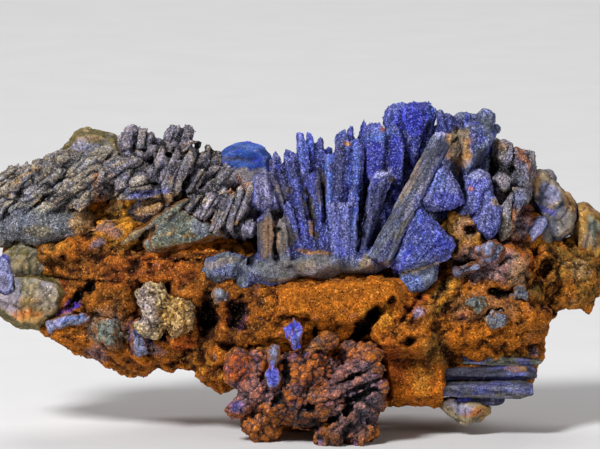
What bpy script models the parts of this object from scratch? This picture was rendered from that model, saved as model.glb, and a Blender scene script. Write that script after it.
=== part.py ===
"""Azurite specimen: a fan of azurite blades and finger crystals grown on a rusty gossan matrix, 158 mm wide.

Every place is given in millimetres as seen from the display side: across to the right, up, and away from
the viewer. The display side leans back by VIEW_TILT, and the foot is cut off flat, so that the specimen
stands by itself.
"""

import math
import random
from collections import namedtuple

import bmesh
import bpy
from mathutils import Matrix, Vector

MM = 0.001
VIEW_TILT = math.radians(8.0)
# A place on the flat foot, and the shift that brings the middle of the specimen over the origin.
FOOT_UP, FOOT_AWAY = 0.6, -20.0
STAND_SHIFT_X, STAND_SHIFT_Y = 0.84, -9.95

# The gap that a seat leaves around the crystal in it, and how far a search for crystals near a piece reaches.
SEAT_GAP = 0.5
ROOM, PLATE_REACH = 2.0, 12.0

# How lumps, plates and blade tips are roughened, and how far facets are thinned out and joined.
LUMP_POINTS, LARGE_LUMP_POINTS = 14, 20
LARGE_LUMP = 7.0
LUMP_FULL, LUMP_DENT = 1.05, 0.16
PLATE_WARP = 0.25
TIP_SLANT = 0.22
WELD = 0.01
FLAT_ENOUGH = math.radians(5.0)
MANY_SHAPES = 3
FACETS_KEPT = 0.38
MATRIX_FACETS_KEPT = 0.24

Blade = namedtuple("Blade", "root tip width thick turn form", defaults=(0.0, "bar"))
Plate = namedtuple("Plate", "outline near thick lean_across lean_up", defaults=(0.0, 0.0))
Lump = namedtuple("Lump", "centre radii lean", defaults=(0.0,))

# Stations along a blade: share of its length, of its width and of its thickness.
FORMS = {
    "bar": ((0.0, 0.76, 0.9), (0.87, 1.0, 0.97), (1.0, 0.55, 0.5)),
    "tongue": ((0.0, 0.74, 0.9), (0.58, 1.0, 1.0), (0.86, 0.86, 0.9), (1.0, 0.46, 0.5)),
    "spade": ((0.0, 0.42, 0.7), (0.5, 0.66, 0.95), (0.9, 1.0, 1.0), (1.0, 0.74, 0.55)),
    "block": ((0.0, 0.9, 0.9), (0.84, 1.0, 0.98), (1.0, 0.72, 0.66)),
    "peak": ((0.0, 0.86, 0.9), (0.66, 0.92, 0.9), (1.0, 0.14, 0.3)),
    "log": ((0.0, 1.0, 1.0), (0.5, 0.93, 0.95), (0.95, 0.82, 0.86), (1.0, 0.66, 0.7)),
}
# Corners of a tabular crystal's section, in half widths and half thicknesses.
SECTION = ((-1.0, 0.08), (-0.66, -0.96), (0.62, -1.0), (1.0, -0.1), (0.64, 0.98), (-0.6, 1.0))
# Rings of a plate, from its back to its front: share of its outline and of its thickness.
PLATE_RINGS = ((0.84, 1.0), (1.0, 0.52), (0.76, 0.0))
PLATE_CROWN = 0.5

FAN = [
    Plate([(-12, 64), (-11, 67.5), (-8.8, 68.8), (-7, 67.2), (-5, 61.5), (-4.4, 58.5), (-8.6, 57.6),
           (-11.6, 60.4)],
          -13.0, 5.0),
    Blade((-4.0, 59.0, -9), (-7.3, 68.8, -10), 1.8, 3.0, -20, "bar"),
    Blade((-2.8, 60.0, -8), (-5.9, 70.4, -7), 2.2, 3.0, 18, "bar"),
    Blade((-6.2, 66.0, -4), (-6.2, 73.8, -2), 3.0, 3.0, 25, "peak"),
    Blade((-0.2, 60.0, -8), (-2.9, 74.0, -7), 3.8, 3.2, -14, "tongue"),
    Blade((2.3, 60.0, -9), (0.1, 78.2, -8), 2.9, 3.2, 18, "tongue"),
    Blade((3.4, 60.0, -7), (2.5, 78.2, -5.5), 2.9, 3.2, -16, "tongue"),
    Blade((5.0, 53.0, -8), (4.9, 76.9, -5), 3.0, 3.0, 8, "tongue"),
    Blade((7.2, 52.0, -6), (6.9, 74.6, -3.5), 2.6, 2.8, -24, "bar"),
    Blade((9.4, 57.0, -9.5), (10.6, 78.9, -8.5), 4.4, 3.8, 10, "tongue"),
    Blade((11.8, 59.0, -4), (12.4, 79.8, -5), 3.2, 3.2, -12, "tongue"),
    Blade((13.5, 48.8, -10), (14.0, 76.8, -8.5), 3.7, 3.2, -10, "bar"),
    Blade((15.4, 66.0, -3), (15.7, 81.6, -1), 3.2, 3.4, 22, "peak"),
    Plate([(15.6, 76.4), (16.6, 79.4), (19.6, 79.2), (21.8, 77.4), (21.6, 67.4), (19.4, 63.6),
           (16.4, 65.4)],
          -8.0, 6.0, 0.0, 0.12),
    Plate([(21.2, 77.6), (23.2, 79.6), (25.4, 79.4), (26.4, 76.4), (26.2, 70), (25.4, 64.8),
           (21.8, 66.2)],
          -7.2, 6.0, -0.1, 0.12),
    Plate([(20.8, 79.4), (21.5, 84), (23.4, 85.6), (26, 86), (26, 80.4), (24.4, 77), (21.6, 76.4)],
          -1.6, 6.0, -0.25, 0.1),
    Plate([(25.2, 86), (30.4, 86.4), (32.5, 85.8), (33.1, 83), (31.3, 79), (29.9, 75.6), (28.2, 68),
           (26.2, 72)],
          -2.4, 6.0, 0.22, 0.08),
    Blade((31.4, 74.0, 2), (33.6, 84.6, 2), 1.9, 2.8, 10, "bar"),
    Blade((15.0, 47.2, -12), (20.3, 68.4, -12.5), 5.2, 4.2, -16, "spade"),
    Blade((-0.1, 48.4, -13), (-3.5, 60.8, -13.8), 3.3, 3.0, 10, "tongue"),
    Blade((2.4, 48.4, -12.5), (-0.8, 63.6, -12), 3.0, 2.8, -14, "tongue"),
    Blade((4.0, 49.2, -11), (1.3, 67.4, -10), 2.6, 2.8, 16, "bar"),
    Blade((6.0, 48.4, -12), (3.2, 68.6, -10.5), 2.9, 3.0, -8, "bar"),
    Blade((7.6, 50.0, -11), (7.0, 72.8, -8.5), 2.5, 2.8, 20, "bar"),
    Blade((9.0, 47.4, -13.4), (8.4, 60.2, -13.6), 3.3, 3.2, 12, "block"),
    Blade((11.3, 47.4, -13.6), (11.0, 60.9, -13), 3.4, 3.2, -10, "block"),
    Blade((13.2, 47.4, -13), (13.6, 64.6, -12), 2.8, 3.2, 8, "bar"),
    Blade((-8.6, 45.5, -13), (-8.4, 58.8, -13), 4.4, 4.2, 12, "tongue"),
    Blade((-3.4, 45.5, -13.4), (-4.6, 56.6, -14), 4.6, 4.2, -14, "tongue"),
]
FAN_CRUST = [
    Lump((-18.5, 44.8, -7), (7.2, 3.9, 7), 8),
    Lump((-7.5, 44.2, -9.5), (9.4, 4.8, 8), -4),
    Lump((4.5, 46.0, -9), (11.0, 4.4, 8), 4),
    Lump((15.5, 46.4, -8), (9.6, 3.9, 8), 8),
    Lump((-13.5, 40.8, -9.5), (3.2, 3.4, 4)),
    Lump((-10.6, 37.8, -10), (2.4, 2.4, 3.4)),
    Lump((8.0, 56.0, 0), (16.0, 13.0, 8), 4),
    Lump((24.0, 66.0, 3), (9.0, 12.0, 7), -14),
    Lump((30.6, 72.6, 5), (6.6, 9.4, 4.6), 10),
    Lump((-7.0, 60.0, 1), (7.6, 9.6, 8), 14),
]
LOG = [Blade((19.6, 46.4, -15.5), (36.0, 78.0, -9.5), 5.8, 5.6, 8, "log")]
SLIVER = [
    Blade((24.0, 47.0, -13), (27.6, 60.2, -12), 2.4, 3.6, 24, "block"),
    Blade((26.6, 56.0, -11.5), (33.2, 70.4, -9.5), 2.4, 3.4, 30, "bar"),
]
SHIELD = [
    Plate([(35, 70.9), (32.8, 69.4), (31, 64.5), (29.3, 60.6), (32.5, 58.8), (38, 59.6), (40.9, 61),
           (40.4, 63.2),
           (38, 67.4), (36.6, 70.2)], -13.0, 4.6, 0.12, 0.1),
]
LOW_SHIELD = [
    Plate([(29.4, 61), (27.8, 58.8), (26, 55.4), (24, 50.4), (22, 45.6), (25, 43.4), (31.3, 44.8),
           (36.8, 47.3),
           (38.8, 51), (35.4, 54.6), (32, 57.6)], -15.6, 4.8, 0.04, 0.06),
    Plate([(22.6, 46.2), (28, 47), (34.4, 46.6), (34, 42.2), (31.4, 39.6), (27, 38.2),
           (24.4, 40.4)], -13.8, 5.6),
]
TONGUES = [
    Plate([(41, 67.3), (42.5, 68.9), (45, 69.4), (47, 68.2), (47.9, 65.5), (48.3, 62.3), (46.2, 60.6),
           (44.4, 58),
           (41.2, 57.2), (37.6, 56.2), (41.4, 60.6), (41.6, 63)], -8.2, 5.0, 0.0, 0.1),
    Plate([(48.3, 62.6), (50, 59.8), (50.3, 56.3), (48.6, 53.2), (47.2, 51.6), (45, 53.4), (42, 56.2),
           (44.5, 58.9),
           (46.4, 61.4)], -9.6, 4.4, 0.1, 0.06),
]
CROWN = [
    Plate([(40.8, 67.3), (39.4, 70.4), (40.3, 74.3), (39.4, 78.6), (41.4, 81.4), (47, 81.6),
           (49.2, 78.6), (47, 74.2),
           (43.8, 70.2), (42, 67.8)], -6.4, 7.0, 0.08, 0.12),
    Blade((36.6, 76.0, 0), (35.0, 84.2, 0.5), 2.2, 2.8, 20, "tongue"),
    Blade((38.4, 77.0, 0), (36.9, 83.2, 0.5), 2.6, 3.0, -14, "tongue"),
    Lump((40.8, 81.6, -0.5), (2.5, 2.4, 2.4)),
    Lump((43.6, 81.8, 0.5), (2.2, 2.2, 2.2)),
    Lump((46.5, 82.0, -1.5), (2.7, 2.8, 2.6), 14),
    Lump((48.8, 79.6, 0.5), (1.5, 1.6, 1.8)),
]
CROWN_ROOT = [
    Lump((39.6, 72.0, 4), (9.0, 9.6, 6.0), 16),
    Lump((36.6, 76.6, 3), (4.0, 5.6, 3.4)),
    Lump((35.0, 64.0, 5), (9.0, 9.0, 8.0), 10),
]
SHOULDER = [
    Plate([(48.8, 76.6), (51.3, 76.8), (54.2, 75.2), (54.6, 70), (52, 68.8), (48.8, 69.4),
           (48.3, 72.6)], -2.0, 6.0),
    Plate([(53.6, 75.4), (56.3, 73.2), (58.1, 69.8), (57.4, 65.2), (55.2, 63.8), (53.5, 65),
           (53.3, 70.2)],
          -0.6, 6.0, 0.14, 0.0),
    Plate([(48.7, 69.8), (52, 70.2), (53.6, 68), (53.2, 64.9), (51, 63.4), (48.9, 66),
           (48.2, 68)], -3.8, 6.0),
]
SHOULDER_ROOT = [
    Lump((53.6, 66.6, 8), (6.4, 9.6, 7.4), -14),
    Lump((49.4, 72.0, 6), (4.2, 5.6, 5)),
]
RIMMED = [
    Plate([(52, 62.4), (53.6, 60.6), (53.9, 55.4), (52.2, 53), (49.9, 51.4), (49.6, 56.2), (50.6, 60)],
          -7.2, 4.2, -0.1, 0.05),
    Plate([(53, 64.8), (56.2, 64.4), (56.8, 62.2), (55, 59.6), (53.4, 57.4), (52, 61.8)], -5.0, 4.2),
]
PALE_RIGHT = [
    Plate([(58.3, 68.8), (60.3, 70.2), (63, 69), (65.3, 65.8), (67.8, 63), (69.3, 60.4), (70, 56.6),
           (68.8, 53),
           (65.4, 50.6), (62.6, 50.4), (61.2, 55), (58.8, 59), (57.2, 62),
           (57.8, 65.6)], 6.0, 13.0, 0.3, 0.1),
    Lump((60.4, 53.6, 11), (5.0, 5.8, 7), 30),
    Lump((58.4, 63.6, 11), (4.0, 6.4, 6)),
]
LAVENDER_TONGUE = [
    Plate([(61.3, 57.6), (59.4, 57.5), (56.8, 53.9), (55.8, 51.6), (57.6, 50.9), (60.2, 53.6),
           (61.8, 55.9)], 1.0, 4.4),
]
SLAB_RIGHT = [
    Plate([(69.3, 60.6), (72, 61.2), (75, 58.6), (77.6, 55.8), (77.8, 49), (75, 45.6), (71, 45.2),
           (68.6, 49),
           (69.2, 54)], 11.0, 11.0, 0.2, 0.0),
]
FINGERS = [
    Plate([(-45.6, 77), (-44, 79.4), (-42.2, 80.6), (-40.2, 80.4), (-39.8, 76.8), (-41.6, 74),
           (-45.2, 73.6)],
          1.0, 5.0, 0.2, 0.1),
    Plate([(-40.6, 79.1), (-38.8, 79.4), (-36.7, 78.3), (-36.4, 76.4), (-37.5, 74.6), (-40.4, 73.8),
           (-41.2, 76.4)],
          -1.6, 5.0),
    Lump((-35.2, 76.0, 2), (1.5, 1.6, 1.8)),
    Blade((-34.8, 73.4, 1), (-30.4, 80.2, 1.5), 3.4, 3.4, 24, "block"),
    Blade((-29.8, 73.6, 0), (-27.6, 80.2, 1), 3.0, 3.2, -18, "block"),
    Blade((-38.6, 73.6, -1), (-26.0, 75.4, -1), 2.8, 4.4, 8, "block"),
    Blade((-48.0, 68.4, -2), (-38.0, 71.4, -4), 6.2, 5.4, 14, "block"),
    Blade((-45.4, 65.4, -4), (-37.8, 66.0, -6.5), 4.8, 4.6, -8, "block"),
    Blade((-37.8, 66.0, -5), (-34.2, 74.4, -6), 3.3, 3.6, -12, "tongue"),
    Blade((-35.4, 62.4, -5), (-31.8, 72.6, -6), 3.1, 3.2, 18, "tongue"),
    Blade((-32.8, 61.8, -6), (-26.7, 73.2, -7), 4.2, 4.2, -10, "tongue"),
    Blade((-31.8, 72.8, -2), (-26.8, 73.6, -3), 3.0, 3.4, 12, "block"),
    Blade((-28.2, 62.8, -6), (-24.0, 69.2, -7), 2.6, 3.0, 10, "tongue"),
    Blade((-27.0, 63.6, -3.5), (-19.2, 70.2, -3.5), 2.7, 3.4, -14, "tongue"),
    Blade((-28.0, 59.0, -8), (-17.0, 69.2, -8.8), 3.4, 3.4, 16, "tongue"),
    Blade((-25.2, 57.2, -9), (-19.2, 64.8, -9.8), 4.2, 3.6, -18, "tongue"),
    Blade((-21.6, 53.6, -10), (-16.5, 64.0, -10.8), 3.4, 3.4, 12, "tongue"),
    Blade((-18.0, 55.0, -11), (-12.9, 65.8, -11.8), 4.7, 4.0, -10, "tongue"),
    Blade((-46.0, 62.6, -3.5), (-32.0, 64.0, -5.5), 2.4, 3.4, 8, "bar"),
    Lump((-22.0, 70.2, 3), (3.6, 3.0, 4)),
    Lump((-22.8, 73.2, 5), (1.8, 2.0, 2.2)),
    Lump((-20.4, 72.6, 5), (1.6, 1.8, 2.2)),
    Lump((-12.8, 54.8, -9.4), (2.5, 2.5, 3.6)),
]
FINGER_CRUST = [
    Lump((-41.0, 68.6, 4), (8.4, 6.6, 8), 14),
    Lump((-30.0, 67.4, 3), (9.0, 8.0, 8)),
    Lump((-21.0, 64.4, 1), (8.0, 7.0, 8), -20),
    Lump((-15.4, 58.4, -2), (6.4, 8.0, 8.6)),
    Lump((-33.0, 60.0, 1), (10.4, 4.8, 7), 8),
]
TEAL_CRUST = [
    Plate([(-39, 50.4), (-38.6, 53), (-36.2, 56.6), (-33.6, 59.2), (-29, 60.6), (-25.4, 59.4),
           (-21.2, 57), (-19, 53.2),
           (-24, 51), (-29, 49.8), (-34, 48.8), (-37.4, 48.6)], -9.0, 7.0, 0.0, 0.12),
    Blade((-44.4, 51.0, -5.5), (-27.8, 62.2, -7.5), 1.5, 4.6, 8, "bar"),
]
RIDGES = [
    Blade((-61.8, 61.4, -1.5), (-51.8, 67.8, -3.0), 3.0, 4.0, 20, "tongue"),
    Blade((-67.8, 63.6, 0), (-59.6, 69.4, -1.0), 3.0, 4.0, -12, "tongue"),
    Blade((-59.6, 64.6, -1), (-50.8, 70.8, -1.0), 3.0, 4.0, 12, "bar"),
    Blade((-73.8, 63.6, 2), (-66.4, 68.6, 0.5), 3.4, 4.4, -16, "tongue"),
    Blade((-65.6, 67.0, 1), (-57.2, 72.2, 1.5), 2.8, 4.0, 16, "tongue"),
    Blade((-57.0, 68.6, 0.5), (-48.4, 73.6, 0.5), 3.0, 4.0, -20, "tongue"),
    Blade((-71.8, 58.8, 1), (-63.8, 65.0, -1.0), 3.0, 4.0, 10, "tongue"),
    Blade((-66.4, 57.6, 0), (-58.6, 63.4, -2.5), 3.0, 4.0, -8, "tongue"),
    Blade((-56.0, 60.4, -2.5), (-50.2, 65.4, -3.5), 3.0, 4.0, 16, "tongue"),
    Blade((-78.0, 65.4, 6), (-70.4, 70.2, 4), 3.6, 4.6, 10, "bar"),
    Blade((-52.0, 63.0, -3), (-46.8, 72.0, -2.5), 3.0, 4.0, -12, "tongue"),
    Blade((-78.2, 57.6, 5), (-72.4, 62.6, 3), 3.4, 4.4, 14, "tongue"),
]
RIDGE_CRUST = [
    Lump((-59.5, 65.0, 6), (13.4, 8.0, 9.0), 28),
    Lump((-50.4, 68.0, 4), (7.8, 7.0, 8), 20),
    Lump((-71.0, 63.0, 9), (8.8, 7.6, 8.4), 26),
    Lump((-76.2, 60.0, 10), (4.0, 7.4, 7)),
    Lump((-62.0, 55.2, 4), (13.4, 5.6, 8.0), -4),
    Lump((-73.4, 56.6, 9), (5.4, 6.4, 7)),
]
BLUE_BACK = [
    Plate([(-20.8, 73), (-18.6, 74.8), (-16, 76), (-13, 76.4), (-9.6, 75.4), (-7.4, 72.8), (-6.6, 66),
           (-9, 58),
           (-17, 57), (-21.4, 66)], 10.0, 8.0, 0.0, 0.3),
]
PALE_BACK = [
    Plate([(-61, 73.6), (-58.6, 76), (-56, 78.9), (-53.6, 79.6), (-49.4, 79.4), (-45.4, 77.4),
           (-43, 72), (-45, 62),
           (-56, 60), (-62.6, 66)], 7.0, 10.0, 0.0, 0.3),
]
GRANULAR = [
    Lump((-36.8, 37.0, -9.5), (4.4, 5.4, 5), -24),
    Lump((-30.8, 33.0, -9.5), (5.0, 5.8, 4.6), 10),
    Lump((-36.6, 31.0, -8.5), (4.4, 4.4, 4), 6),
]
WEDGE = [Blade((-1.0, 25.0, -20), (-1.8, 32.0, -21.5), 3.8, 3.4, 14, "peak")]
ROD = [Blade((-6.8, 15.6, -20), (-6.6, 25.6, -21), 2.6, 2.8, -18, "bar")]
NODULE = [
    Blade((-7.6, 14.8, -14), (-17.6, 9.0, -15), 4.0, 4.0, 12, "tongue"),
    Blade((6.0, 14.0, -20), (20.4, 20.4, -19), 3.8, 4.6, 16, "block"),
    Blade((7.0, 10.0, -19), (21.0, 15.2, -18), 3.8, 4.6, -14, "block"),
    Blade((9.6, 18.0, -19), (20.2, 23.6, -18), 3.4, 4.2, 10, "tongue"),
    Blade((8.2, 3.4, -19), (14.2, 11.6, -21), 3.4, 3.8, -20, "tongue"),
    Blade((1.0, 23.6, -17), (9.4, 27.6, -18.5), 3.0, 3.6, 8, "tongue"),
    Blade((-1.6, 16.0, -20), (4.4, 23.6, -21), 3.2, 3.6, -8, "block"),
]
NODULE_LUMPS = [
    Lump((-9.8, 6.4, -10), (5.0, 5.2, 7.2), 8),
    Lump((-0.6, 12.0, -12), (14.0, 7.2, 9.4), -3),
    Lump((13.4, 13.0, -13), (8.4, 9.6, 9.4), 8),
    Lump((7.6, 3.2, -16), (4.2, 3.8, 6.0)),
    Lump((14.8, 4.8, -14), (5.0, 4.6, 6.8), -8),
    Lump((-12.6, 19.6, -11), (6.8, 6.6, 7), 4),
    Lump((1.0, 18.6, -15), (9.0, 7.0, 7.0), 10),
    Lump((14.8, 22.4, -12), (5.4, 4.8, 6)),
    Lump((-10.6, 14.0, -16), (4.2, 3.4, 5.0), -20),
    Lump((4.6, 10.6, -20), (4.4, 3.6, 4.0), 20),
]
FOOT_BLADES = {
    "foot_blade_1": Blade((41.0, 22.2, -2), (60.0, 21.4, -3.5), 2.4, 5.4, 10, "peak"),
    "foot_blade_2": Blade((36.6, 18.2, -4), (58.4, 18.6, -5.5), 2.9, 5.6, -10, "bar"),
    "foot_blade_3": Blade((36.0, 14.6, -5.5), (57.6, 14.4, -7), 3.6, 5.0, 14, "bar"),
    "foot_blade_4": Blade((39.6, 11.8, -2.5), (50.8, 11.8, -4), 2.6, 5.2, -6, "tongue"),
}
CREAM = [
    Plate([(34.4, 12.4), (36.6, 13.0), (42, 12), (47.6, 10.6), (47.6, 8.6), (45, 6.6), (41, 5.4),
           (36.6, 7.8), (34.4, 10)],
          -5.4, 7.0),
]
PALE_LEFT = [
    Plate([(-75, 41), (-72, 43.6), (-66, 43.2), (-60, 41.8), (-58.4, 38.6), (-60.6, 33.2),
           (-66, 29.6), (-70, 30),
           (-75.6, 33.8), (-77.6, 37)], -1.0, 12.0, -0.2, 0.1),
    Lump((-69.0, 45.4, 7), (6.6, 5.8, 7)),
]
LAVENDER_EDGE = [
    Plate([(-74.4, 48.2), (-73, 47.6), (-71.8, 43), (-71.4, 38.6), (-73.6, 37.6), (-77, 39.6),
           (-77.4, 45)], -1.0, 5.0),
]
NUBS = {
    "azurite_nub_1": Blade((-62.6, 30.4, 0.5), (-53.2, 32.8, -1), 3.2, 3.6, 8, "tongue"),
    "azurite_nub_2": Blade((-39.8, 23.4, -5), (-41.2, 31.4, -7), 3.8, 3.8, 14, "block"),
    "azurite_nub_3": Lump((-48.0, 29.0, -3.0), (3.6, 4.2, 3.8), 16),
    "azurite_nub_4": Lump((47.6, 49.2, -8.5), (3.8, 3.0, 3.4), 6),
    "azurite_nub_5": Blade((38.6, 43.6, -10.5), (45.4, 46.2, -11), 2.8, 3.4, 10, "tongue"),
    "azurite_nub_6": Lump((43.8, 36.0, -12), (3.0, 2.4, 3.0)),
    "azurite_nub_7": Lump((49.0, 32.4, -11), (3.4, 2.8, 3.2), 14),
    "azurite_nub_8": Lump((54.6, 38.0, -7.0), (3.0, 2.2, 3.0), -16),
    "azurite_nub_9": Lump((-19.0, 38.0, -12.6), (2.6, 2.0, 2.4), 10),
}
# The matrix's main masses, the lumps on its back, and the ledges on its front.
MATRIX = [
    Lump((0.0, 34.5, 4), (38.0, 15.5, 22)),
    Lump((-24.0, 38.0, 1), (21.0, 15.0, 14), 6),
    Lump((-42.0, 42.0, 7), (26.0, 14.5, 13), -4),
    Lump((-61.0, 47.0, 11), (15.0, 11.0, 11), 10),
    Lump((-58.0, 36.0, 8), (14.0, 9.0, 10), -14),
    Lump((29.0, 33.0, -1), (17.0, 15.0, 13), 10),
    Lump((43.0, 34.0, 1), (20.0, 16.6, 13), 12),
    Lump((60.0, 44.0, 11), (13.0, 11.0, 10), -8),
    Lump((69.0, 45.0, 15), (8.8, 9.4, 9), 12),
    Lump((47.0, 52.0, 7), (15.0, 12.0, 12), 8),
    Lump((2.0, 10.6, 12), (17.0, 9.6, 18)),
    Lump((-34.0, 56.0, 13), (24.0, 13.0, 12), 4),
    Lump((6.0, 56.0, 15), (26.0, 14.0, 11), 6),
    Lump((38.0, 62.0, 16), (19.0, 13.0, 9), -8),
    Lump((-58.0, 59.0, 16), (15.0, 9.0, 9), 16),
    Lump((-20.0, 42.0, 20), (28.0, 20.0, 13), -6),
    Lump((26.0, 40.0, 20), (28.0, 21.0, 13), 8),
    Lump((4.0, 24.0, 20), (22.0, 15.0, 12)),
    Lump((-44.0, 31.0, 7), (18.0, 9.6, 11), -14),
    Lump((-30.0, 28.0, 4), (12.0, 9.6, 12), -10),
    Lump((-19.0, 25.0, 3), (9.0, 11.0, 12)),
    Lump((55.0, 57.0, 13), (8.0, 9.0, 8)),
]
BACK = [
    Lump((-58.0, 50.0, 20), (10.0, 7.0, 7.0), 20),
    Lump((-40.0, 58.0, 24), (9.0, 6.0, 5.0), -10),
    Lump((-38.0, 40.0, 26), (8.0, 9.0, 6.0), 14),
    Lump((-20.0, 52.0, 30), (9.0, 6.0, 5.0), 6),
    Lump((-14.0, 34.0, 32), (10.0, 6.6, 4.6), -16),
    Lump((-28.0, 27.0, 26), (8.0, 6.0, 6.0), 24),
    Lump((2.0, 45.0, 28), (7.0, 8.0, 5.0), -24),
    Lump((6.0, 20.0, 29), (9.0, 6.0, 5.0), 8),
    Lump((12.0, 58.0, 25), (9.0, 6.0, 5.0), 16),
    Lump((24.0, 34.0, 32), (10.0, 7.6, 4.6), 10),
    Lump((28.0, 52.0, 28), (8.0, 6.0, 5.0), -8),
    Lump((44.0, 44.0, 27), (8.0, 8.6, 5.0), -20),
    Lump((46.0, 62.0, 22), (8.0, 6.0, 5.0), 12),
    Lump((38.0, 26.0, 24), (8.0, 6.0, 6.0), -30),
    Lump((60.0, 46.0, 20), (8.0, 6.0, 5.0), 10),
]
LEDGES = [
    Plate([(-8.8, 40), (-5, 41.6), (8, 41.8), (20, 43), (27, 42), (29, 38), (22, 33), (16, 29.6),
           (8, 30.6), (0, 33),
           (-7, 32)], -19.0, 14.0, 0.02, 0.16),
    Plate([(14, 36), (27, 38.6), (34, 36), (35, 28), (30, 22), (22, 22.6),
           (17, 27)], -16.0, 12.0, 0.1, 0.1),
    Plate([(18, 30), (26, 30), (35, 28), (37.4, 20), (35.4, 11.4), (29.6, 9.6), (22.8, 9.8),
           (20.4, 16), (20.2, 22)],
          -9.0, 13.0, 0.0, 0.1),
    Plate([(35, 40), (46, 44), (56, 42), (61, 33), (59, 27), (50, 24), (38, 25),
           (33, 31)], -10.6, 12.0, 0.14, 0.06),
    Plate([(35, 26), (48, 27), (59.4, 27.4), (61.2, 24.6), (60, 20), (57, 13.6), (46, 12), (36, 14)],
          -4.0, 12.0, 0.04, 0.0),
    Plate([(-20, 43), (-10, 42), (-8, 36), (-12, 27), (-15, 24), (-17.4, 30),
           (-19, 37)], -14.0, 12.0, -0.1, 0.1),
    Plate([(-40, 47), (-26, 46), (-21, 43), (-20, 38), (-28, 40), (-36, 41),
           (-44, 42)], -9.6, 10.0, 0.0, 0.1),
    Plate([(-56, 45), (-44, 50), (-38, 47), (-38, 40), (-42, 30), (-50, 32), (-56, 37)], -5.6, 11.0),
    Plate([(-66, 52), (-52, 57), (-44, 58), (-38, 56), (-40, 50), (-48, 46), (-58, 45.6),
           (-66, 47)], -3.6, 11.0),
    Plate([(-64, 34.6), (-52, 31), (-40, 26.4), (-30, 22), (-24, 17.2), (-26.6, 17), (-34, 19.6),
           (-41, 17.2),
           (-50, 20.6), (-57, 24), (-64, 29.4)], -1.0, 12.0, 0.0, 0.12),
    Plate([(-30, 28), (-24, 22), (-18, 16), (-14.6, 12.4), (-19, 13.4), (-26.4, 18.4),
           (-31, 22)], -5.0, 12.0),
    Plate([(58, 45), (66, 47), (74, 45), (77.4, 40), (74.6, 35.4), (71.6, 33.4), (66.8, 35.4),
           (61.6, 31.8), (58, 38)],
          4.0, 12.0, 0.2, 0.0),
    Plate([(42, 52), (50, 50.6), (56, 50), (60, 46), (56, 40), (46, 40),
           (38, 44)], -8.4, 10.0, 0.12, 0.0),
    Plate([(37, 59), (43, 57), (46, 52), (42, 48), (37.6, 46.6)], -10.6, 8.0),
]
HOLLOWS = [
    Blade((24.0, 38.2, -22), (10.6, 24.0, -24), 3.4, 22.0, 0, "tongue"),
    Lump((-23.4, 32.0, -12), (4.0, 6.2, 8.5), 12),
    Lump((-15.6, 33.0, -17), (3.4, 5.0, 5.5), -10),
    Lump((-52.6, 39.6, -6), (1.6, 4.4, 5), -30),
    Lump((-56.6, 35.2, -4), (4.4, 1.4, 5), -30),
    Lump((3.9, 30.0, -20), (1.4, 2.2, 5)),
    Lump((-53.4, 53.2, -5), (2.0, 1.8, 4)),
    Lump((47.4, 52.0, -9), (2.6, 1.9, 5)),
    Lump((42.0, 45.4, -13), (4.6, 1.3, 5), 12),
    Lump((50.0, 39.2, -11), (5.0, 1.1, 5), -4),
    Lump((61.6, 45.0, 4), (3.0, 4.2, 6), -30),
    Lump((61.0, 34.6, 2), (2.2, 2.4, 6)),
    Lump((-12.4, 48.4, -13), (2.2, 3.4, 6), 14),
    Lump((27.0, 26.4, -17), (2.2, 1.8, 5)),
    Lump((-45.6, 38.6, -8), (1.8, 1.5, 4)),
    Lump((40.0, 30.2, -12), (2.0, 1.6, 4)),
]

# Crystals come before the crusts and the matrix that they grew on. A piece is seated in all that follow it.
PIECES = {
    "log_crystal": LOG,
    "sliver_crystal": SLIVER,
    "wedge_crystal": WEDGE,
    "rod_crystal": ROD,
    "low_shield_crystal": LOW_SHIELD,
    "shield_crystals": SHIELD,
    "rimmed_crystal": RIMMED,
    "tongue_crystals": TONGUES,
    **{name: [shape] for name, shape in FOOT_BLADES.items()},
    **{name: [shape] for name, shape in NUBS.items()},
    "lavender_tongue": LAVENDER_TONGUE,
    "lavender_edge_crystal": LAVENDER_EDGE,
    "granular_druse": GRANULAR,
    "cream_lump": CREAM,
    "crown_crystals": CROWN + CROWN_ROOT,
    "shoulder_crystals": SHOULDER + SHOULDER_ROOT,
    "fan_crystals": FAN + FAN_CRUST,
    "finger_crystals": FINGERS + FINGER_CRUST,
    "teal_crust": TEAL_CRUST,
    "ridged_crust": RIDGES + RIDGE_CRUST,
    "blue_back_crystal": BLUE_BACK,
    "pale_back_lump": PALE_BACK,
    "pale_right_lump": PALE_RIGHT,
    "pale_right_slab": SLAB_RIGHT,
    "pale_left_lump": PALE_LEFT,
    "azurite_nodule": NODULE + NODULE_LUMPS,
    "gossan_matrix": MATRIX + LEDGES + BACK,
}
FINISH = {
    "gossan": ((0.36, 0.15, 0.04), 0.9),
    "azurite": ((0.05, 0.08, 0.42), 0.55),
    "coated_azurite": ((0.26, 0.27, 0.38), 0.75),
    "grey_crust": ((0.30, 0.36, 0.36), 0.8),
    "pale_crust": ((0.62, 0.58, 0.50), 0.7),
    "druse": ((0.66, 0.55, 0.32), 0.6),
}
PIECE_FINISH = {
    "gossan_matrix": "gossan",
    "azurite_nodule": "coated_azurite",
    "finger_crystals": "coated_azurite",
    "shoulder_crystals": "coated_azurite",
    "rimmed_crystal": "coated_azurite",
    "ridged_crust": "coated_azurite",
    "teal_crust": "grey_crust",
    "azurite_nub_3": "grey_crust",
    "azurite_nub_6": "grey_crust",
    "azurite_nub_7": "grey_crust",
    "azurite_nub_8": "grey_crust",
    "azurite_nub_9": "grey_crust",
    "pale_back_lump": "pale_crust",
    "pale_right_lump": "pale_crust",
    "pale_right_slab": "pale_crust",
    "pale_left_lump": "pale_crust",
    "cream_lump": "pale_crust",
    "granular_druse": "druse",
}


def clear_scene():
    for obj in list(bpy.data.objects):
        bpy.data.objects.remove(obj)


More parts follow.
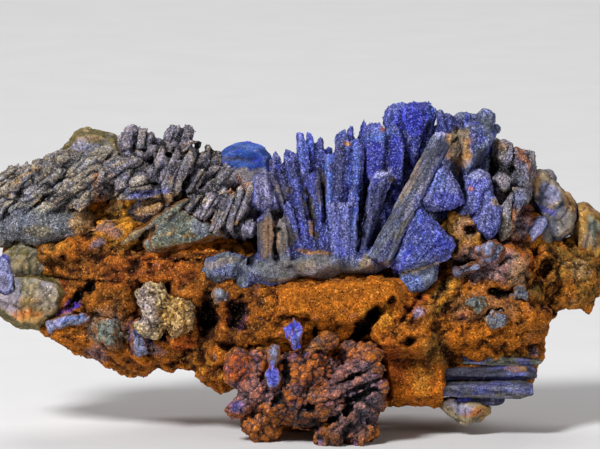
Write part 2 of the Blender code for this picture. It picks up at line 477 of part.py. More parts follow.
def seen(place):
    """A place given as (across, up, away), as a vector with its depth along Y and its height along Z."""
    across, up, away = place
    return Vector((across, away, up))


def bridge(made, ring, following):
    for i in range(len(ring)):
        j = (i + 1) % len(ring)
        made.faces.new((ring[i], ring[j], following[j], following[i]))


def blade_mesh(blade, rng):
    """A tabular crystal: a six-sided bar through its form's stations, with its broad face to the viewer."""
    root, tip = seen(blade.root), seen(blade.tip)
    along = (tip - root).normalized()
    side = along.cross(Vector((0, 1, 0))).normalized()
    side = Matrix.Rotation(math.radians(blade.turn), 3, along) @ side
    depth = along.cross(side)
    slant = rng.uniform(-TIP_SLANT, TIP_SLANT) * blade.width
    made = bmesh.new()
    rings = []
    for share, wide, deep in FORMS[blade.form]:
        middle = root.lerp(tip, share)
        half_width = blade.width / 2 * wide
        half_depth = blade.thick / 2 * deep
        ring = []
        for out, through in SECTION:
            lift = slant * out if share == 1.0 else 0.0
            corner = side * (out * half_width) + depth * (through * half_depth) + along * lift
            ring.append(made.verts.new(middle + corner))
        rings.append(ring)
    for ring, following in zip(rings, rings[1:]):
        bridge(made, ring, following)
    made.faces.new(rings[0])
    made.faces.new(rings[-1])
    return made


def plate_mesh(plate, rng):
    """A flat crystal or slab: its outline, narrower at the back and front, with a low crown on both faces."""
    points = [Vector(point) for point in plate.outline]
    centre = sum(points, Vector((0, 0))) / len(points)
    made = bmesh.new()
    rings = []
    for share, deep in PLATE_RINGS:
        ring = []
        for point in points:
            off = (point - centre) * share
            lean = plate.lean_across * off.x + plate.lean_up * off.y
            away = plate.near + plate.thick * deep + lean + rng.uniform(-PLATE_WARP, PLATE_WARP)
            ring.append(made.verts.new(seen((centre.x + off.x, centre.y + off.y, away))))
        rings.append(ring)
    for ring, following in zip(rings, rings[1:]):
        bridge(made, ring, following)
    crown = made.verts.new(seen((centre.x, centre.y, plate.near - PLATE_CROWN)))
    back = made.verts.new(seen((centre.x, centre.y, plate.near + plate.thick + PLATE_CROWN)))
    for ring, hub in ((rings[-1], crown), (rings[0], back)):
        for i in range(len(ring)):
            made.faces.new((ring[i], ring[(i + 1) % len(ring)], hub))
    return made


def lump_mesh(lump, rng):
    """An angular lump: the hull of points strewn evenly over an ellipsoid and dented a little."""
    lean = Matrix.Rotation(-math.radians(lump.lean), 3, "Y")
    across, up, away = lump.radii
    radii = Vector((across, away, up))
    count = LUMP_POINTS if max(lump.radii) < LARGE_LUMP else LARGE_LUMP_POINTS
    start = rng.uniform(0, math.tau)
    golden = math.pi * (3 - math.sqrt(5))
    made = bmesh.new()
    for i in range(count):
        height = 1 - 2 * (i + 0.5) / count
        flat = math.sqrt(1 - height * height)
        turn = start + golden * i
        point = Vector((flat * math.cos(turn), flat * math.sin(turn), height))
        point *= LUMP_FULL - rng.uniform(0, LUMP_DENT)
        made.verts.new(seen(lump.centre) + lean @ (point * radii))
    hull = bmesh.ops.convex_hull(made, input=made.verts)
    inside = [v for v in hull["geom_interior"] if isinstance(v, bmesh.types.BMVert)]
    bmesh.ops.delete(made, geom=inside, context="VERTS")
    return made


BUILDERS = {Blade: blade_mesh, Plate: plate_mesh, Lump: lump_mesh}


def swell(made, distance):
    """Moves every face of a closed mesh out by the same distance."""
    made.normal_update()
    places = [v.co + v.normal * distance * v.calc_shell_factor() for v in made.verts]
    for v, place in zip(made.verts, places):
        v.co = place


def shape_object(name, shape, grow):
    """One shape as an object, in millimetres, as seen from the display side."""
    made = BUILDERS[type(shape)](shape, random.Random(repr(shape)))
    bmesh.ops.recalc_face_normals(made, faces=made.faces)
    bmesh.ops.triangulate(made, faces=made.faces)
    if grow:
        swell(made, grow)
    mesh = bpy.data.meshes.new(name)
    made.to_mesh(mesh)
    made.free()
    return bpy.data.objects.new(name, mesh)


def group_of(name, shapes, grow=0.0):
    """A collection with one object for each shape."""
    group = bpy.data.collections.new(name)
    bpy.context.scene.collection.children.link(group)
    for i, shape in enumerate(shapes):
        group.objects.link(shape_object(f"{name}_{i}", shape, grow))
    return group


def drop(group):
    for obj in list(group.objects):
        bpy.data.objects.remove(obj)
    bpy.data.collections.remove(group)


def bake(obj):
    """Applies obj's modifiers."""
    bpy.context.view_layer.update()
    graph = bpy.context.evaluated_depsgraph_get()
    mesh = bpy.data.meshes.new_from_object(obj.evaluated_get(graph))
    obj.modifiers.clear()
    obj.data = mesh


def combine(obj, group, operation):
    """Applies a Boolean of the whole group to obj."""
    boolean = obj.modifiers.new(operation.lower(), "BOOLEAN")
    boolean.operation = operation
    boolean.solver = "EXACT"
    boolean.operand_type = "COLLECTION"
    boolean.collection = group
    bake(obj)
    drop(group)


def union_object(name, shapes):
    """The shapes joined into one object."""
    obj = shape_object(name, shapes[0], 0.0)
    bpy.context.scene.collection.objects.link(obj)
    if len(shapes) > 1:
        combine(obj, group_of(name + "_shapes", shapes[1:]), "UNION")
    return obj


def thin_out(obj, keep):
    """Lowers the number of facets to the given share."""
    made = bmesh.new()
    made.from_mesh(obj.data)
    bmesh.ops.triangulate(made, faces=made.faces)
    made.to_mesh(obj.data)
    made.free()
    decimate = obj.modifiers.new("facets", "DECIMATE")
    decimate.ratio = keep
    bake(obj)


def volume_of(faces):
    total = 0.0
    for face in faces:
        corners = [v.co for v in face.verts]
        for b, c in zip(corners[1:], corners[2:]):
            total += corners[0].dot(b.cross(c)) / 6
    return total


def neighbours(face):
    """The faces that share an edge with this one alone."""
    return [other for edge in face.edges if len(edge.link_faces) == 2 for other in edge.link_faces]


def shells_of(made):
    """The mesh's separate shells, as lists of faces. Shells that only touch along an edge are separate."""
    left, shells = set(made.faces), []
    while left:
        shell = [left.pop()]
        for face in shell:
            for other in neighbours(face):
                if other in left:
                    left.remove(other)
                    shell.append(other)
        shells.append(shell)
    return shells


def keep_largest(obj):
    """Joins corners closer than WELD and facets that are nearly flat, and deletes loose chips."""
    made = bmesh.new()
    made.from_mesh(obj.data)
    bmesh.ops.remove_doubles(made, verts=made.verts, dist=WELD)
    bmesh.ops.dissolve_degenerate(made, edges=made.edges, dist=WELD)
    bmesh.ops.dissolve_limit(made, angle_limit=FLAT_ENOUGH, verts=made.verts, edges=made.edges)
    bmesh.ops.triangulate(made, faces=made.faces)
    for shell in sorted(shells_of(made), key=volume_of)[:-1]:
        bmesh.ops.delete(made, geom=shell, context="FACES")
    made.to_mesh(obj.data)
    made.free()


def box_of(shape):
    """Lowest and highest corner of a shape, with ROOM to spare."""
    if isinstance(shape, Blade):
        reach = max(shape.width, shape.thick) + ROOM
        places = [shape.root, shape.tip]
    elif isinstance(shape, Plate):
        reach = ROOM
        lean = (abs(shape.lean_across) + abs(shape.lean_up)) * PLATE_REACH
        places = [(*point, shape.near - lean) for point in shape.outline]
        places += [(*point, shape.near + shape.thick + lean) for point in shape.outline]
    else:
        reach = LUMP_FULL * max(shape.radii) + ROOM
        places = [shape.centre]
    low = Vector(min(values) - reach for values in zip(*places))
    high = Vector(max(values) + reach for values in zip(*places))
    return low, high


def near(shape, others):
    low, high = box_of(shape)
    for other in others:
        other_low, other_high = box_of(other)
        if all(low[i] < other_high[i] and high[i] > other_low[i] for i in range(3)):
            return True
    return False


def seat(obj, shapes, seated):
    """Cuts away from obj the room that the pieces seated in it need."""
    close = [shape for shape in seated if near(shape, shapes)]
    if close:
        combine(obj, group_of(obj.name + "_seats", close, SEAT_GAP), "DIFFERENCE")


def stand_up(obj):
    """Leans the display side back, cuts the foot off flat and brings the object to metres."""
    made = bmesh.new()
    made.from_mesh(obj.data)
    bmesh.ops.rotate(made, verts=made.verts, matrix=Matrix.Rotation(-VIEW_TILT, 3, "X"))
    floor = FOOT_UP * math.cos(VIEW_TILT) - FOOT_AWAY * math.sin(VIEW_TILT)
    bmesh.ops.translate(made, verts=made.verts, vec=Vector((STAND_SHIFT_X, STAND_SHIFT_Y, -floor)))
    whole = made.verts[:] + made.edges[:] + made.faces[:]
    cut = bmesh.ops.bisect_plane(made, geom=whole, plane_co=(0, 0, 0), plane_no=(0, 0, -1), clear_outer=True)
    rim = [e for e in cut["geom_cut"] if isinstance(e, bmesh.types.BMEdge)]
    if rim:
        bmesh.ops.holes_fill(made, edges=rim, sides=0)
        bmesh.ops.triangulate(made, faces=made.faces)
    bmesh.ops.scale(made, verts=made.verts, vec=(MM, MM, MM))
    bmesh.ops.recalc_face_normals(made, faces=made.faces)
    made.to_mesh(obj.data)
    made.free()


def finish_material(name):
    material = bpy.data.materials.get(name)
    if material is None:
        colour, roughness = FINISH[name]
        material = bpy.data.materials.new(name)
        material.use_nodes = True
        shader = material.node_tree.nodes["Principled BSDF"]
        shader.inputs["Base Color"].default_value = (*colour, 1.0)
        shader.inputs["Roughness"].default_value = roughness
        shader.inputs["Metallic"].default_value = 0.0
        material.diffuse_color = (*colour, 1.0)
    return material


def make_piece(name, shapes, seated):
    obj = union_object(name, shapes)
    if name == "gossan_matrix":
        thin_out(obj, MATRIX_FACETS_KEPT)
        combine(obj, group_of("hollows", HOLLOWS), "DIFFERENCE")
    elif len(shapes) > MANY_SHAPES:
        thin_out(obj, FACETS_KEPT)
    seat(obj, shapes, seated)
    keep_largest(obj)
    stand_up(obj)
    obj.data.materials.clear()
    obj.data.materials.append(finish_material(PIECE_FINISH.get(name, "azurite")))


def main():
    clear_scene()
    seated = []
    for name, shapes in PIECES.items():
        make_piece(name, shapes, seated)
        seated += shapes


main()
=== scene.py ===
"""Azurite specimen: the grown surfaces, sugary grains and finish of its crystals, crusts and rusty matrix.

What is placed one by one is given in millimetres as seen from the display side: across to the right, up, and away
from the viewer.
"""

import itertools
import math
from collections import namedtuple

import bpy
import numpy as np
from bpy.props import FloatProperty, FloatVectorProperty, IntProperty, PointerProperty
from mathutils import Matrix, Vector


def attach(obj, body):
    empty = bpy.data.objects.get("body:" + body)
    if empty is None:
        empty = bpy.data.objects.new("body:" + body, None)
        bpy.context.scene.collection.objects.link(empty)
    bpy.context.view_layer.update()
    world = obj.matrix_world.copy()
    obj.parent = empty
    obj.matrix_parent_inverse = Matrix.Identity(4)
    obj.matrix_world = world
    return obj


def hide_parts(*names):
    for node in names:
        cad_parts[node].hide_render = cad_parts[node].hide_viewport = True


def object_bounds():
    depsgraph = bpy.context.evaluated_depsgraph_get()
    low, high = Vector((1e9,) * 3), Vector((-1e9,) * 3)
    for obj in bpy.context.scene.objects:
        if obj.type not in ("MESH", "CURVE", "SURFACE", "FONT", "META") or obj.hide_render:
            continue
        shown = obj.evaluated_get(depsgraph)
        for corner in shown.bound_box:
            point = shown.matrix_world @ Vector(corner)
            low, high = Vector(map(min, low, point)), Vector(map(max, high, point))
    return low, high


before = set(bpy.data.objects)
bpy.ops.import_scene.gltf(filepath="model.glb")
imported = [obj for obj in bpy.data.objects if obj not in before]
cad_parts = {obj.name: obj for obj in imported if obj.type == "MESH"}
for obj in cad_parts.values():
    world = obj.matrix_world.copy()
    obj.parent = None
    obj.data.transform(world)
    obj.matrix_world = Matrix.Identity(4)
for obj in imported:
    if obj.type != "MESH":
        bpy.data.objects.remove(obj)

bl_info = {
    "name": "Azurite specimen finish",
    "version": (1, 0, 0),
    "blender": (4, 5, 0),
    "location": "3D View > Sidebar > Specimen",
    "description": "Grows the crystals, crusts and rusty matrix of an azurite specimen",
    "category": "Object",
}

MM = 0.001
CAD_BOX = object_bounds()
# The display side leans back by this angle, and the specimen's middle is shifted over the origin.
DISPLAY_TILT = math.radians(8.0)
DISPLAY_SHIFT = Vector((0.84, -9.95, -3.378))
VIEW_WIDTH, VIEW_CENTRE_UP = 150.0, 55.625
MERGE = 0.00001
BOX_MARGIN = 0.0006
# What lies lower than this is set down on the floor.
FLOOR_SNAP = 0.0005
# Pits fade out over the last millimetres before this distance away, so that they leave the far side whole.
PIT_REACH, PIT_FADE = 15.0, 4.0
# Places further than this from every crystal stay unturned, and the patterns of two crystals lie this far apart.
AXIS_REACH, AXIS_SPACING = 50.0, 31.7
# The tone of the darkest crystal, and how much lighter the lightest is.
DARKEST_TONE, TONE_RANGE = 0.82, 0.36
# How far the parting of two crystals reaches, and how dark its painted shade gets at most.
PARTING_WIDTH, PARTING_SHADE = 0.9, 0.7
# The part of a cell that its groove takes up, and how much of the relief a calm zone takes away.
GROOVE_WIDTH, CALMING = 0.22, 0.7
# Many rounds of smoothing tell the deep hollows, and few tell the fine ones.
DEEP_ROUNDS, FINE_ROUNDS = 20, 3

# A layer of relief has cells of a width and a length. It darkens its grooves with painted shade and varies in tone
# from cell to cell.
Relief = namedtuple("Relief", "kind width length depth groove vary", defaults=(0.0, 0.0))
Stain = namedtuple("Stain", "across up wide tall lean colour strength", defaults=(1.0,))
Mottle = namedtuple("Mottle", "colour size share strength")
# A pit pushes the display side in by its depth, darkening it there with painted shade, and the whole place to the
# right and up.
Pit = namedtuple("Pit", "across up wide tall lean depth right rise", defaults=(0.0, 0.0))
Zone = namedtuple("Zone", "across up wide tall lean")
# Parting is the depth of the groove between two neighbouring crystals. The rim colour and strength give a painted
# highlight on raised rims, the hollow colour tints the painted shade of low places, and wall is the colour of
# what faces away from the display side.
Finish = namedtuple("Finish", "slot facet relief mottles rim rim_strength hollow parting wall", defaults=(0.0, ""))
# Flecks is the share of light and dark flecks, and cover how many millimetres more the piece grows out.
Dress = namedtuple("Dress", "finish base stains axes flecks cover", defaults=((), (), 1.0, 0.0))


def colour_property(name, red, green, blue, description):
    return FloatVectorProperty(name=name, description=description, subtype="COLOR", size=3, min=0.0, max=1.0,
                               default=(red, green, blue))


class SurfaceSettings(bpy.types.PropertyGroup):
    """Sizes of the grown surfaces."""

    matrix_facet: FloatProperty(
        name="Matrix facet", description="Mesh size of the rusty matrix", default=0.00068, unit="LENGTH")
    crystal_facet: FloatProperty(
        name="Crystal facet", description="Mesh size of the blue crystals", default=0.0004, unit="LENGTH")
    crust_facet: FloatProperty(
        name="Crust facet", description="Mesh size of the crusts and pale lumps", default=0.00045, unit="LENGTH")
    joint_cover: FloatProperty(
        name="Joint cover", description="How far a surface grows out to meet its neighbour", default=0.0003,
        unit="LENGTH")
    stain_fray: FloatProperty(
        name="Stain fray", description="How ragged the edges of the stains are", default=0.0026, unit="LENGTH")
    grain_size: FloatProperty(
        name="Grain size", description="Width of a sugary grain", default=0.00034, unit="LENGTH")
    grain_count: IntProperty(
        name="Grains", description="Number of sugary grains on the blue crystals", default=8000, min=0)
    crumb_count: IntProperty(
        name="Crumbs", description="Number of rusty crumbs on the matrix", default=4800, min=0)


class ColourSettings(bpy.types.PropertyGroup):
    """Colours of the minerals."""

    royal: colour_property("Royal", 0.010, 0.018, 0.44, "Clean azurite faces")
    blue: colour_property("Blue", 0.054, 0.070, 0.30, "Azurite under fine grains")
    sky: colour_property("Sky", 0.065, 0.15, 0.52, "Light blue crystal skin")
    azure: colour_property("Azure", 0.009, 0.052, 0.27, "Clear, smooth blue crystal skin")
    night: colour_property("Night", 0.014, 0.013, 0.035, "Shaded, nearly black crystal faces")
    lavender: colour_property("Lavender", 0.27, 0.27, 0.46, "Lavender-white crystal tops")
    violet: colour_property("Violet", 0.155, 0.142, 0.200, "Violet-grey coated crystals")
    slate: colour_property("Slate", 0.115, 0.135, 0.205, "Blue-grey coated crystals")
    ash: colour_property("Ash", 0.062, 0.060, 0.066, "Dull grey blades")
    teal: colour_property("Teal", 0.115, 0.130, 0.112, "Grey-teal crust")
    olive: colour_property("Olive", 0.11, 0.085, 0.022, "Olive-brown coating")
    taupe: colour_property("Taupe", 0.27, 0.225, 0.185, "Brown-grey speckled coating")
    cream: colour_property("Cream", 0.34, 0.245, 0.12, "Cream crust")
    pale: colour_property("Pale", 0.175, 0.16, 0.115, "Pale grey crust")
    gold: colour_property("Gold", 0.42, 0.20, 0.022, "Golden ochre")
    orange: colour_property("Orange", 0.46, 0.13, 0.008, "Bright orange rust")
    rust: colour_property("Rust", 0.21, 0.068, 0.008, "Common rust of the matrix")
    red: colour_property("Red", 0.22, 0.036, 0.010, "Red-brown rust")
    brown: colour_property("Brown", 0.065, 0.026, 0.008, "Dark brown matrix")
    # Black is laid into slits and pits as painted shade, and it also makes small random dark mottles.
    black: colour_property("Black", 0.006, 0.005, 0.004, "Deep hollows")


class StageSettings(bpy.types.PropertyGroup):
    """The camera and the studio light."""

    lens: FloatProperty(name="Lens", description="Focal length in millimetres", default=500.0, min=50.0)
    key_power: FloatProperty(
        name="Key light", description="Power of the light from the upper left", default=17.0, unit="POWER")
    fill_power: FloatProperty(
        name="Fill light", description="Power of the light from the right", default=2.2, unit="POWER")
    paper_power: FloatProperty(
        name="Paper light", description="Power of the light over the backdrop", default=12.0, unit="POWER")
    sky_strength: FloatProperty(
        name="Sky", description="Strength of the light from all round", default=0.11, min=0.0)


class SpecimenSettings(bpy.types.PropertyGroup):
    """All settings of the specimen."""

    surface: PointerProperty(type=SurfaceSettings)
    colours: PointerProperty(type=ColourSettings)
    stage: PointerProperty(type=StageSettings)


def settings():
    return bpy.context.scene.specimen


def seen(across, up, away):
    """A place seen from the display side, in millimetres, as a place in the specimen's frame, in metres."""
    leaned = Matrix.Rotation(-DISPLAY_TILT, 3, "X") @ Vector((across, away, up))
    return (leaned + DISPLAY_SHIFT) * MM


def shown_directions(directions):
    """Directions in the specimen's frame, as (across, up, away) seen from the display side."""
    cos, sin = math.cos(DISPLAY_TILT), math.sin(DISPLAY_TILT)
    up = directions[:, 1] * sin + directions[:, 2] * cos
    away = directions[:, 1] * cos - directions[:, 2] * sin
    return np.column_stack((directions[:, 0], up, away))


def shown_places(places):
    return shown_directions(places / MM - np.array(DISPLAY_SHIFT))


def cell_chance(cells, seed):
    """A chance from 0 to 1 for each whole-numbered cell."""
    mixed = cells[:, 0] * 73856093 ^ cells[:, 1] * 19349663 ^ cells[:, 2] * 83492791 ^ (seed * 2654435761)
    mixed = (mixed ^ (mixed >> 13)) * 1274126177
    return ((mixed ^ (mixed >> 16)) & 0xFFFFFF) / 0xFFFFFF


def soft_noise(places, size, seed):
    """Smooth noise from 0 to 1 with features of the given size."""
    scaled = places / size
    cells = np.floor(scaled).astype(np.int64)
    part = scaled - cells
    part = part * part * (3 - 2 * part)
    total = np.zeros(len(places))
    for corner in itertools.product((0, 1), repeat=3):
        share = np.where(np.array(corner), part, 1 - part).prod(axis=1)
        total += share * cell_chance(cells + np.array(corner), seed)
    return total


def cell_pattern(places, size, seed):
    """Splits space into cells round scattered points: the distance to the middle, to the border, and a chance."""
    scaled = places / size
    home = np.floor(scaled).astype(np.int64)
    nearest, second = np.full(len(places), 9.0), np.full(len(places), 9.0)
    chance = np.zeros(len(places))
    for step in itertools.product((-1, 0, 1), repeat=3):
        cells = home + np.array(step)
        point = cells + np.column_stack([cell_chance(cells, seed * 7 + axis) for axis in (1, 2, 3)])
        distance = np.linalg.norm(scaled - point, axis=1)
        closer = distance < nearest
        second = np.where(closer, nearest, np.minimum(second, distance))
        chance = np.where(closer, cell_chance(cells, seed * 7), chance)
        nearest = np.where(closer, distance, nearest)
    return nearest, second - nearest, chance


def along_axes(shown, axes):
    """Turns places so that the second coordinate runs along the nearest crystal, with the number of that crystal
    and how much nearer it is than the next one."""
    turned, number = shown.copy(), np.zeros(len(shown), int)
    best, second = np.full(len(shown), AXIS_REACH), np.full(len(shown), 2 * AXIS_REACH)
    for index, (across, up, tip_across, tip_up) in enumerate(axes):
        run = np.array((tip_across - across, tip_up - up))
        length = np.linalg.norm(run)
        run /= length
        offset = shown[:, :2] - (across, up)
        along = offset @ run
        beside = offset @ (run[1], -run[0])
        distance = np.hypot(beside, np.maximum(0, np.maximum(-along, along - length)))
        nearer = distance < best
        second = np.where(nearer, best, np.minimum(second, distance))
        best = np.where(nearer, distance, best)
        turned[nearer, 0] = beside[nearer] + AXIS_SPACING * index
        turned[nearer, 1] = along[nearer]
        number[nearer] = index
    return turned, number, second - best


def deselect_all():
    if bpy.context.object and bpy.context.object.mode != "OBJECT":
        bpy.ops.object.mode_set(mode="OBJECT")
    bpy.ops.object.select_all(action="DESELECT")


def make_active(piece):
    deselect_all()
    piece.select_set(True)
    bpy.context.view_layer.objects.active = piece


def apply_modifier(piece, modifier):
    make_active(piece)
    bpy.ops.object.modifier_apply(modifier=modifier.name)


def copy_of(node, name):
    """A new piece with a CAD node's shape, its corners merged."""
    piece = bpy.data.objects.new(name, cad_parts[node].data.copy())
    bpy.context.scene.collection.objects.link(piece)
    piece.data.materials.clear()
    make_active(piece)
    bpy.ops.object.mode_set(mode="EDIT")
    bpy.ops.mesh.select_all(action="SELECT")
    bpy.ops.mesh.remove_doubles(threshold=MERGE)
    bpy.ops.object.mode_set(mode="OBJECT")
    return piece


def swell(piece, distance):
    grow = piece.modifiers.new("swell", "DISPLACE")
    grow.strength = distance
    grow.mid_level = 0.0
    apply_modifier(piece, grow)


def remesh(piece, facet):
    voxels = piece.modifiers.new("voxels", "REMESH")
    voxels.mode = "VOXEL"
    voxels.voxel_size = facet
    apply_modifier(piece, voxels)


def places_of(mesh):
    places = np.empty(len(mesh.vertices) * 3, np.float32)
    mesh.vertices.foreach_get("co", places)
    return places.reshape(-1, 3).astype(float)


def set_places(mesh, places):
    mesh.vertices.foreach_set("co", places.astype(np.float32).ravel())
    mesh.update()


def normals_of(mesh):
    normals = np.empty(len(mesh.vertices) * 3, np.float32)
    mesh.vertex_normals.foreach_get("vector", normals)
    return normals.reshape(-1, 3).astype(float)


def within(shown, mark, fray=(0.0, 0.0)):
    """How far inside an ellipse each place lies: below 1 inside it, above 1 outside."""
    lean = math.radians(mark.lean)
    right = shown[:, 0] + fray[0] * min(1.0, mark.wide / 3) - mark.across
    high = shown[:, 1] + fray[1] * min(1.0, mark.tall / 3) - mark.up
    along = right * math.cos(lean) + high * math.sin(lean)
    upward = high * math.cos(lean) - right * math.sin(lean)
    return np.hypot(along / mark.wide, upward / mark.tall)


def dig_pits(piece, pits):
    """Pushes the surface at each pit, and gives the shade inside the pits."""
    mesh = piece.data
    places = places_of(mesh)
    shown = shown_places(places)
    front = np.clip(0.4 - shown_directions(normals_of(mesh))[:, 2], 0, 0.5) * 2
    front *= np.clip((PIT_REACH - shown[:, 2]) / PIT_FADE, 0, 1)
    fray = [(soft_noise(shown, 1.6, seed) - 0.5) * 2.2 for seed in (3, 4)]
    shade, push = np.ones(len(places)), np.zeros((len(places), 3))
    for pit in pits:
        share = np.clip((1.25 - within(shown, pit, fray)) / 0.6, 0, 1)
        push += np.column_stack((share * pit.right, share * pit.rise, share * front * pit.depth))
        # Painted shade inside the pit: the deeper the pit, the darker.
        shade *= 1 - share * front * np.clip(pit.depth / 3, 0, 0.9)
    cos, sin = math.cos(DISPLAY_TILT), math.sin(DISPLAY_TILT)
    moved = np.column_stack((push[:, 0], push[:, 1] * sin + push[:, 2] * cos, push[:, 1] * cos - push[:, 2] * sin))
    set_places(mesh, places + moved * MM)
    return shade


def calmness(shown, zones):
    """How calm the relief is at each place, from 0 to 1."""
    calm = np.zeros(len(shown))
    for zone in zones:
        calm = np.maximum(calm, np.clip((1.3 - within(shown, zone)) / 0.5, 0, 1))
    return calm


def grow_relief(piece, finish, turned, number, gap, calm, seed):
    """Moves the surface in and out, streaked along the crystals, and gives the tone of each place: random from
    crystal to crystal and cell to cell, with painted shade in the grooves and the partings.
    """
    mesh = piece.data
    places = places_of(mesh)
    tone_and_shade = DARKEST_TONE + TONE_RANGE * np.random.default_rng(seed).random(number.max() + 1)[number]
    parted = 1 - np.clip(gap / PARTING_WIDTH, 0, 1)
    lift = -parted * finish.parting
    # The parting between two crystals is darkened with painted shade.
    tone_and_shade *= 1 - parted * min(PARTING_SHADE, finish.parting)
    for index, layer in enumerate(finish.relief):
        size = np.array((layer.width, layer.length, layer.width * 1.5))
        if layer.kind == "soft":
            lift += (soft_noise(turned, size, seed + index) - 0.5) * layer.depth
            continue
        middle, border, chance = cell_pattern(turned, size, seed + index)
        groove = np.clip(border / GROOVE_WIDTH, 0, 1)
        form = groove * 0.5 + chance * 0.5 if layer.kind == "plates" else 1.1 - middle
        lift += (form - 0.6) * layer.depth
        # The grooves are darkened with painted shade; the cells vary in tone at random.
        tone_and_shade *= (1 - layer.groove * (1 - groove)) * (1 + layer.vary * (chance - 0.5))
    rough = 1 - CALMING * calm
    set_places(mesh, places + normals_of(mesh) * (lift * rough)[:, None] * MM)
    return 1 + (tone_and_shade - 1) * rough


def hollowness(mesh, places, rounds):
    """How far each corner lies below its surroundings, in millimetres."""
    ends = np.empty(len(mesh.edges) * 2, np.int32)
    mesh.edges.foreach_get("vertices", ends)
    first, second = ends.reshape(-1, 2).T
    starts, stops = np.concatenate((first, second)), np.concatenate((second, first))
    joined = np.bincount(starts, minlength=len(places))
    smooth = places
    for _ in range(rounds):
        summed = [np.bincount(starts, weights=smooth[stops, axis], minlength=len(places)) for axis in range(3)]
        smooth = np.column_stack(summed) / joined[:, None]
    return ((smooth - places) * normals_of(mesh)).sum(axis=1) / MM


def mixed(tint, colour, share):
    return tint * (1 - share[:, None]) + np.array(getattr(settings().colours, colour)) * share[:, None]


def stained(mesh, shown, turned, dress, mottles):
    """The base colour with its mottles, and over them the stains of the display side."""
    fray_size = settings().surface.stain_fray / MM
    tint = np.tile(np.array(getattr(settings().colours, dress.base)), (len(shown), 1))
    for seed, mottle in enumerate(mottles, start=20):
        size = mottle.size * np.array((1.0, 1.0 if not dress.axes else 2.2, 1.0))
        spread = soft_noise(turned, size, seed) + 0.5 * soft_noise(turned, size * 0.4, seed + 40)
        edge = np.quantile(spread, 1 - mottle.share)
        tint = mixed(tint, mottle.colour, np.clip((spread - edge) / 0.12, 0, 1) * mottle.strength)
    plain = tint
    front = np.clip((0.55 - shown_directions(normals_of(mesh))[:, 2]) / 0.4, 0, 1)
    fray = [(soft_noise(shown, 2.4, seed) + 0.6 * soft_noise(shown, 0.9, seed + 9) - 0.8) * fray_size
            for seed in (1, 2)]
    for stain in dress.stains:
        reach = within(shown, stain, fray)
        tint = mixed(tint, stain.colour, np.clip((1.2 - reach) / 0.4, 0, 1) * stain.strength * front)
    return tint * 0.84 + plain * 0.16


def cleanness(tint, finish):
    """How clean each place is: the blue crystals are duller where they are dark or another mineral coats them."""
    if finish.slot != "azurite":
        return np.ones(len(tint))
    return np.clip(tint[:, 2] / (tint[:, 0] + 0.01) - 0.7, 0.25, 1) * np.clip(tint.max(axis=1) * 8, 0.35, 1)


def set_tint(mesh, tint, flecks):
    """Keeps the colour of each corner, with the share of its flecks as the fourth value."""
    attribute = mesh.color_attributes.new(name="tint", type="FLOAT_COLOR", domain="POINT")
    values = np.column_stack((np.clip(tint, 0, 1), np.zeros(len(tint)) + flecks))
    attribute.data.foreach_set("color", values.astype(np.float32).ravel())


def paint(piece, dress, finish, turned, tone_and_shade):
    """Colours the surface, with painted shade in its hollows and a painted highlight on its raised rims."""
    mesh = piece.data
    places = places_of(mesh)
    tint = stained(mesh, shown_places(places), turned, dress, finish.mottles)
    if finish.wall:
        facing = shown_directions(normals_of(mesh))[:, 2] + 0.7 * (soft_noise(turned, 1.5, 61) - 0.5)
        tint = mixed(tint, finish.wall, np.clip((facing + 0.7) / 0.25, 0, 1))
    deep = hollowness(mesh, places, DEEP_ROUNDS)
    fine = hollowness(mesh, places, FINE_ROUNDS)
    clean = cleanness(tint, finish)
    # Painted highlight: raised rims are mixed towards the rim colour.
    tint = mixed(tint, finish.rim, np.clip(-2.0 * deep - 0.15, 0, 1) * finish.rim_strength * clean)
    # Painted shade darkens the deep and fine hollows, and a painted highlight lifts raised places above full
    # brightness.
    shade = np.clip(1.0 - 1.1 * deep - 1.6 * fine, 0.12, 1.35) * tone_and_shade
    # The painted shade is tinted with the finish's shade colour.
    tint = mixed(tint, finish.hollow, np.clip(1 - shade, 0, 1) * 0.6 * clean)
    set_tint(mesh, tint * shade[:, None], dress.flecks * clean)


class Wiring:
    """Adds and links the nodes of one material."""

    def __init__(self, name, roughness, gloss):
        self.material = bpy.data.materials.new(name)
        self.material.use_nodes = True
        self.tree = self.material.node_tree
        self.shader = self.tree.nodes["Principled BSDF"]
        self.shader.inputs["Roughness"].default_value = roughness
        self.shader.inputs["Specular IOR Level"].default_value = gloss

    def node(self, kind, inputs=None, **values):
        made = self.tree.nodes.new(kind)
        for key, value in values.items():
            setattr(made, key, value)
        for key, value in (inputs or {}).items():
            self.feed(value, made.inputs[key])
        return made

    def feed(self, value, socket):
        if isinstance(value, bpy.types.NodeSocket):
            self.tree.links.new(value, socket)
        else:
            socket.default_value = value

    def maths(self, operation, first, second):
        made = self.node("ShaderNodeMath", operation=operation)
        self.feed(first, made.inputs[0])
        self.feed(second, made.inputs[1])
        return made.outputs[0]

    def span(self, value, low, high, out_low, out_high):
        """Maps a value from one range to another, held at its ends."""
        made = self.node("ShaderNodeMapRange", {"Value": value, "From Min": low, "From Max": high,
                                                "To Min": out_low, "To Max": out_high})
        return made.outputs[0]

    def mix(self, share, first, second, blend="MIX"):
        made = self.node("ShaderNodeMix", data_type="RGBA", blend_type=blend)
        self.feed(share, made.inputs[0])
        self.feed(first, made.inputs[6])
        self.feed(second, made.inputs[7])
        return made.outputs[2]


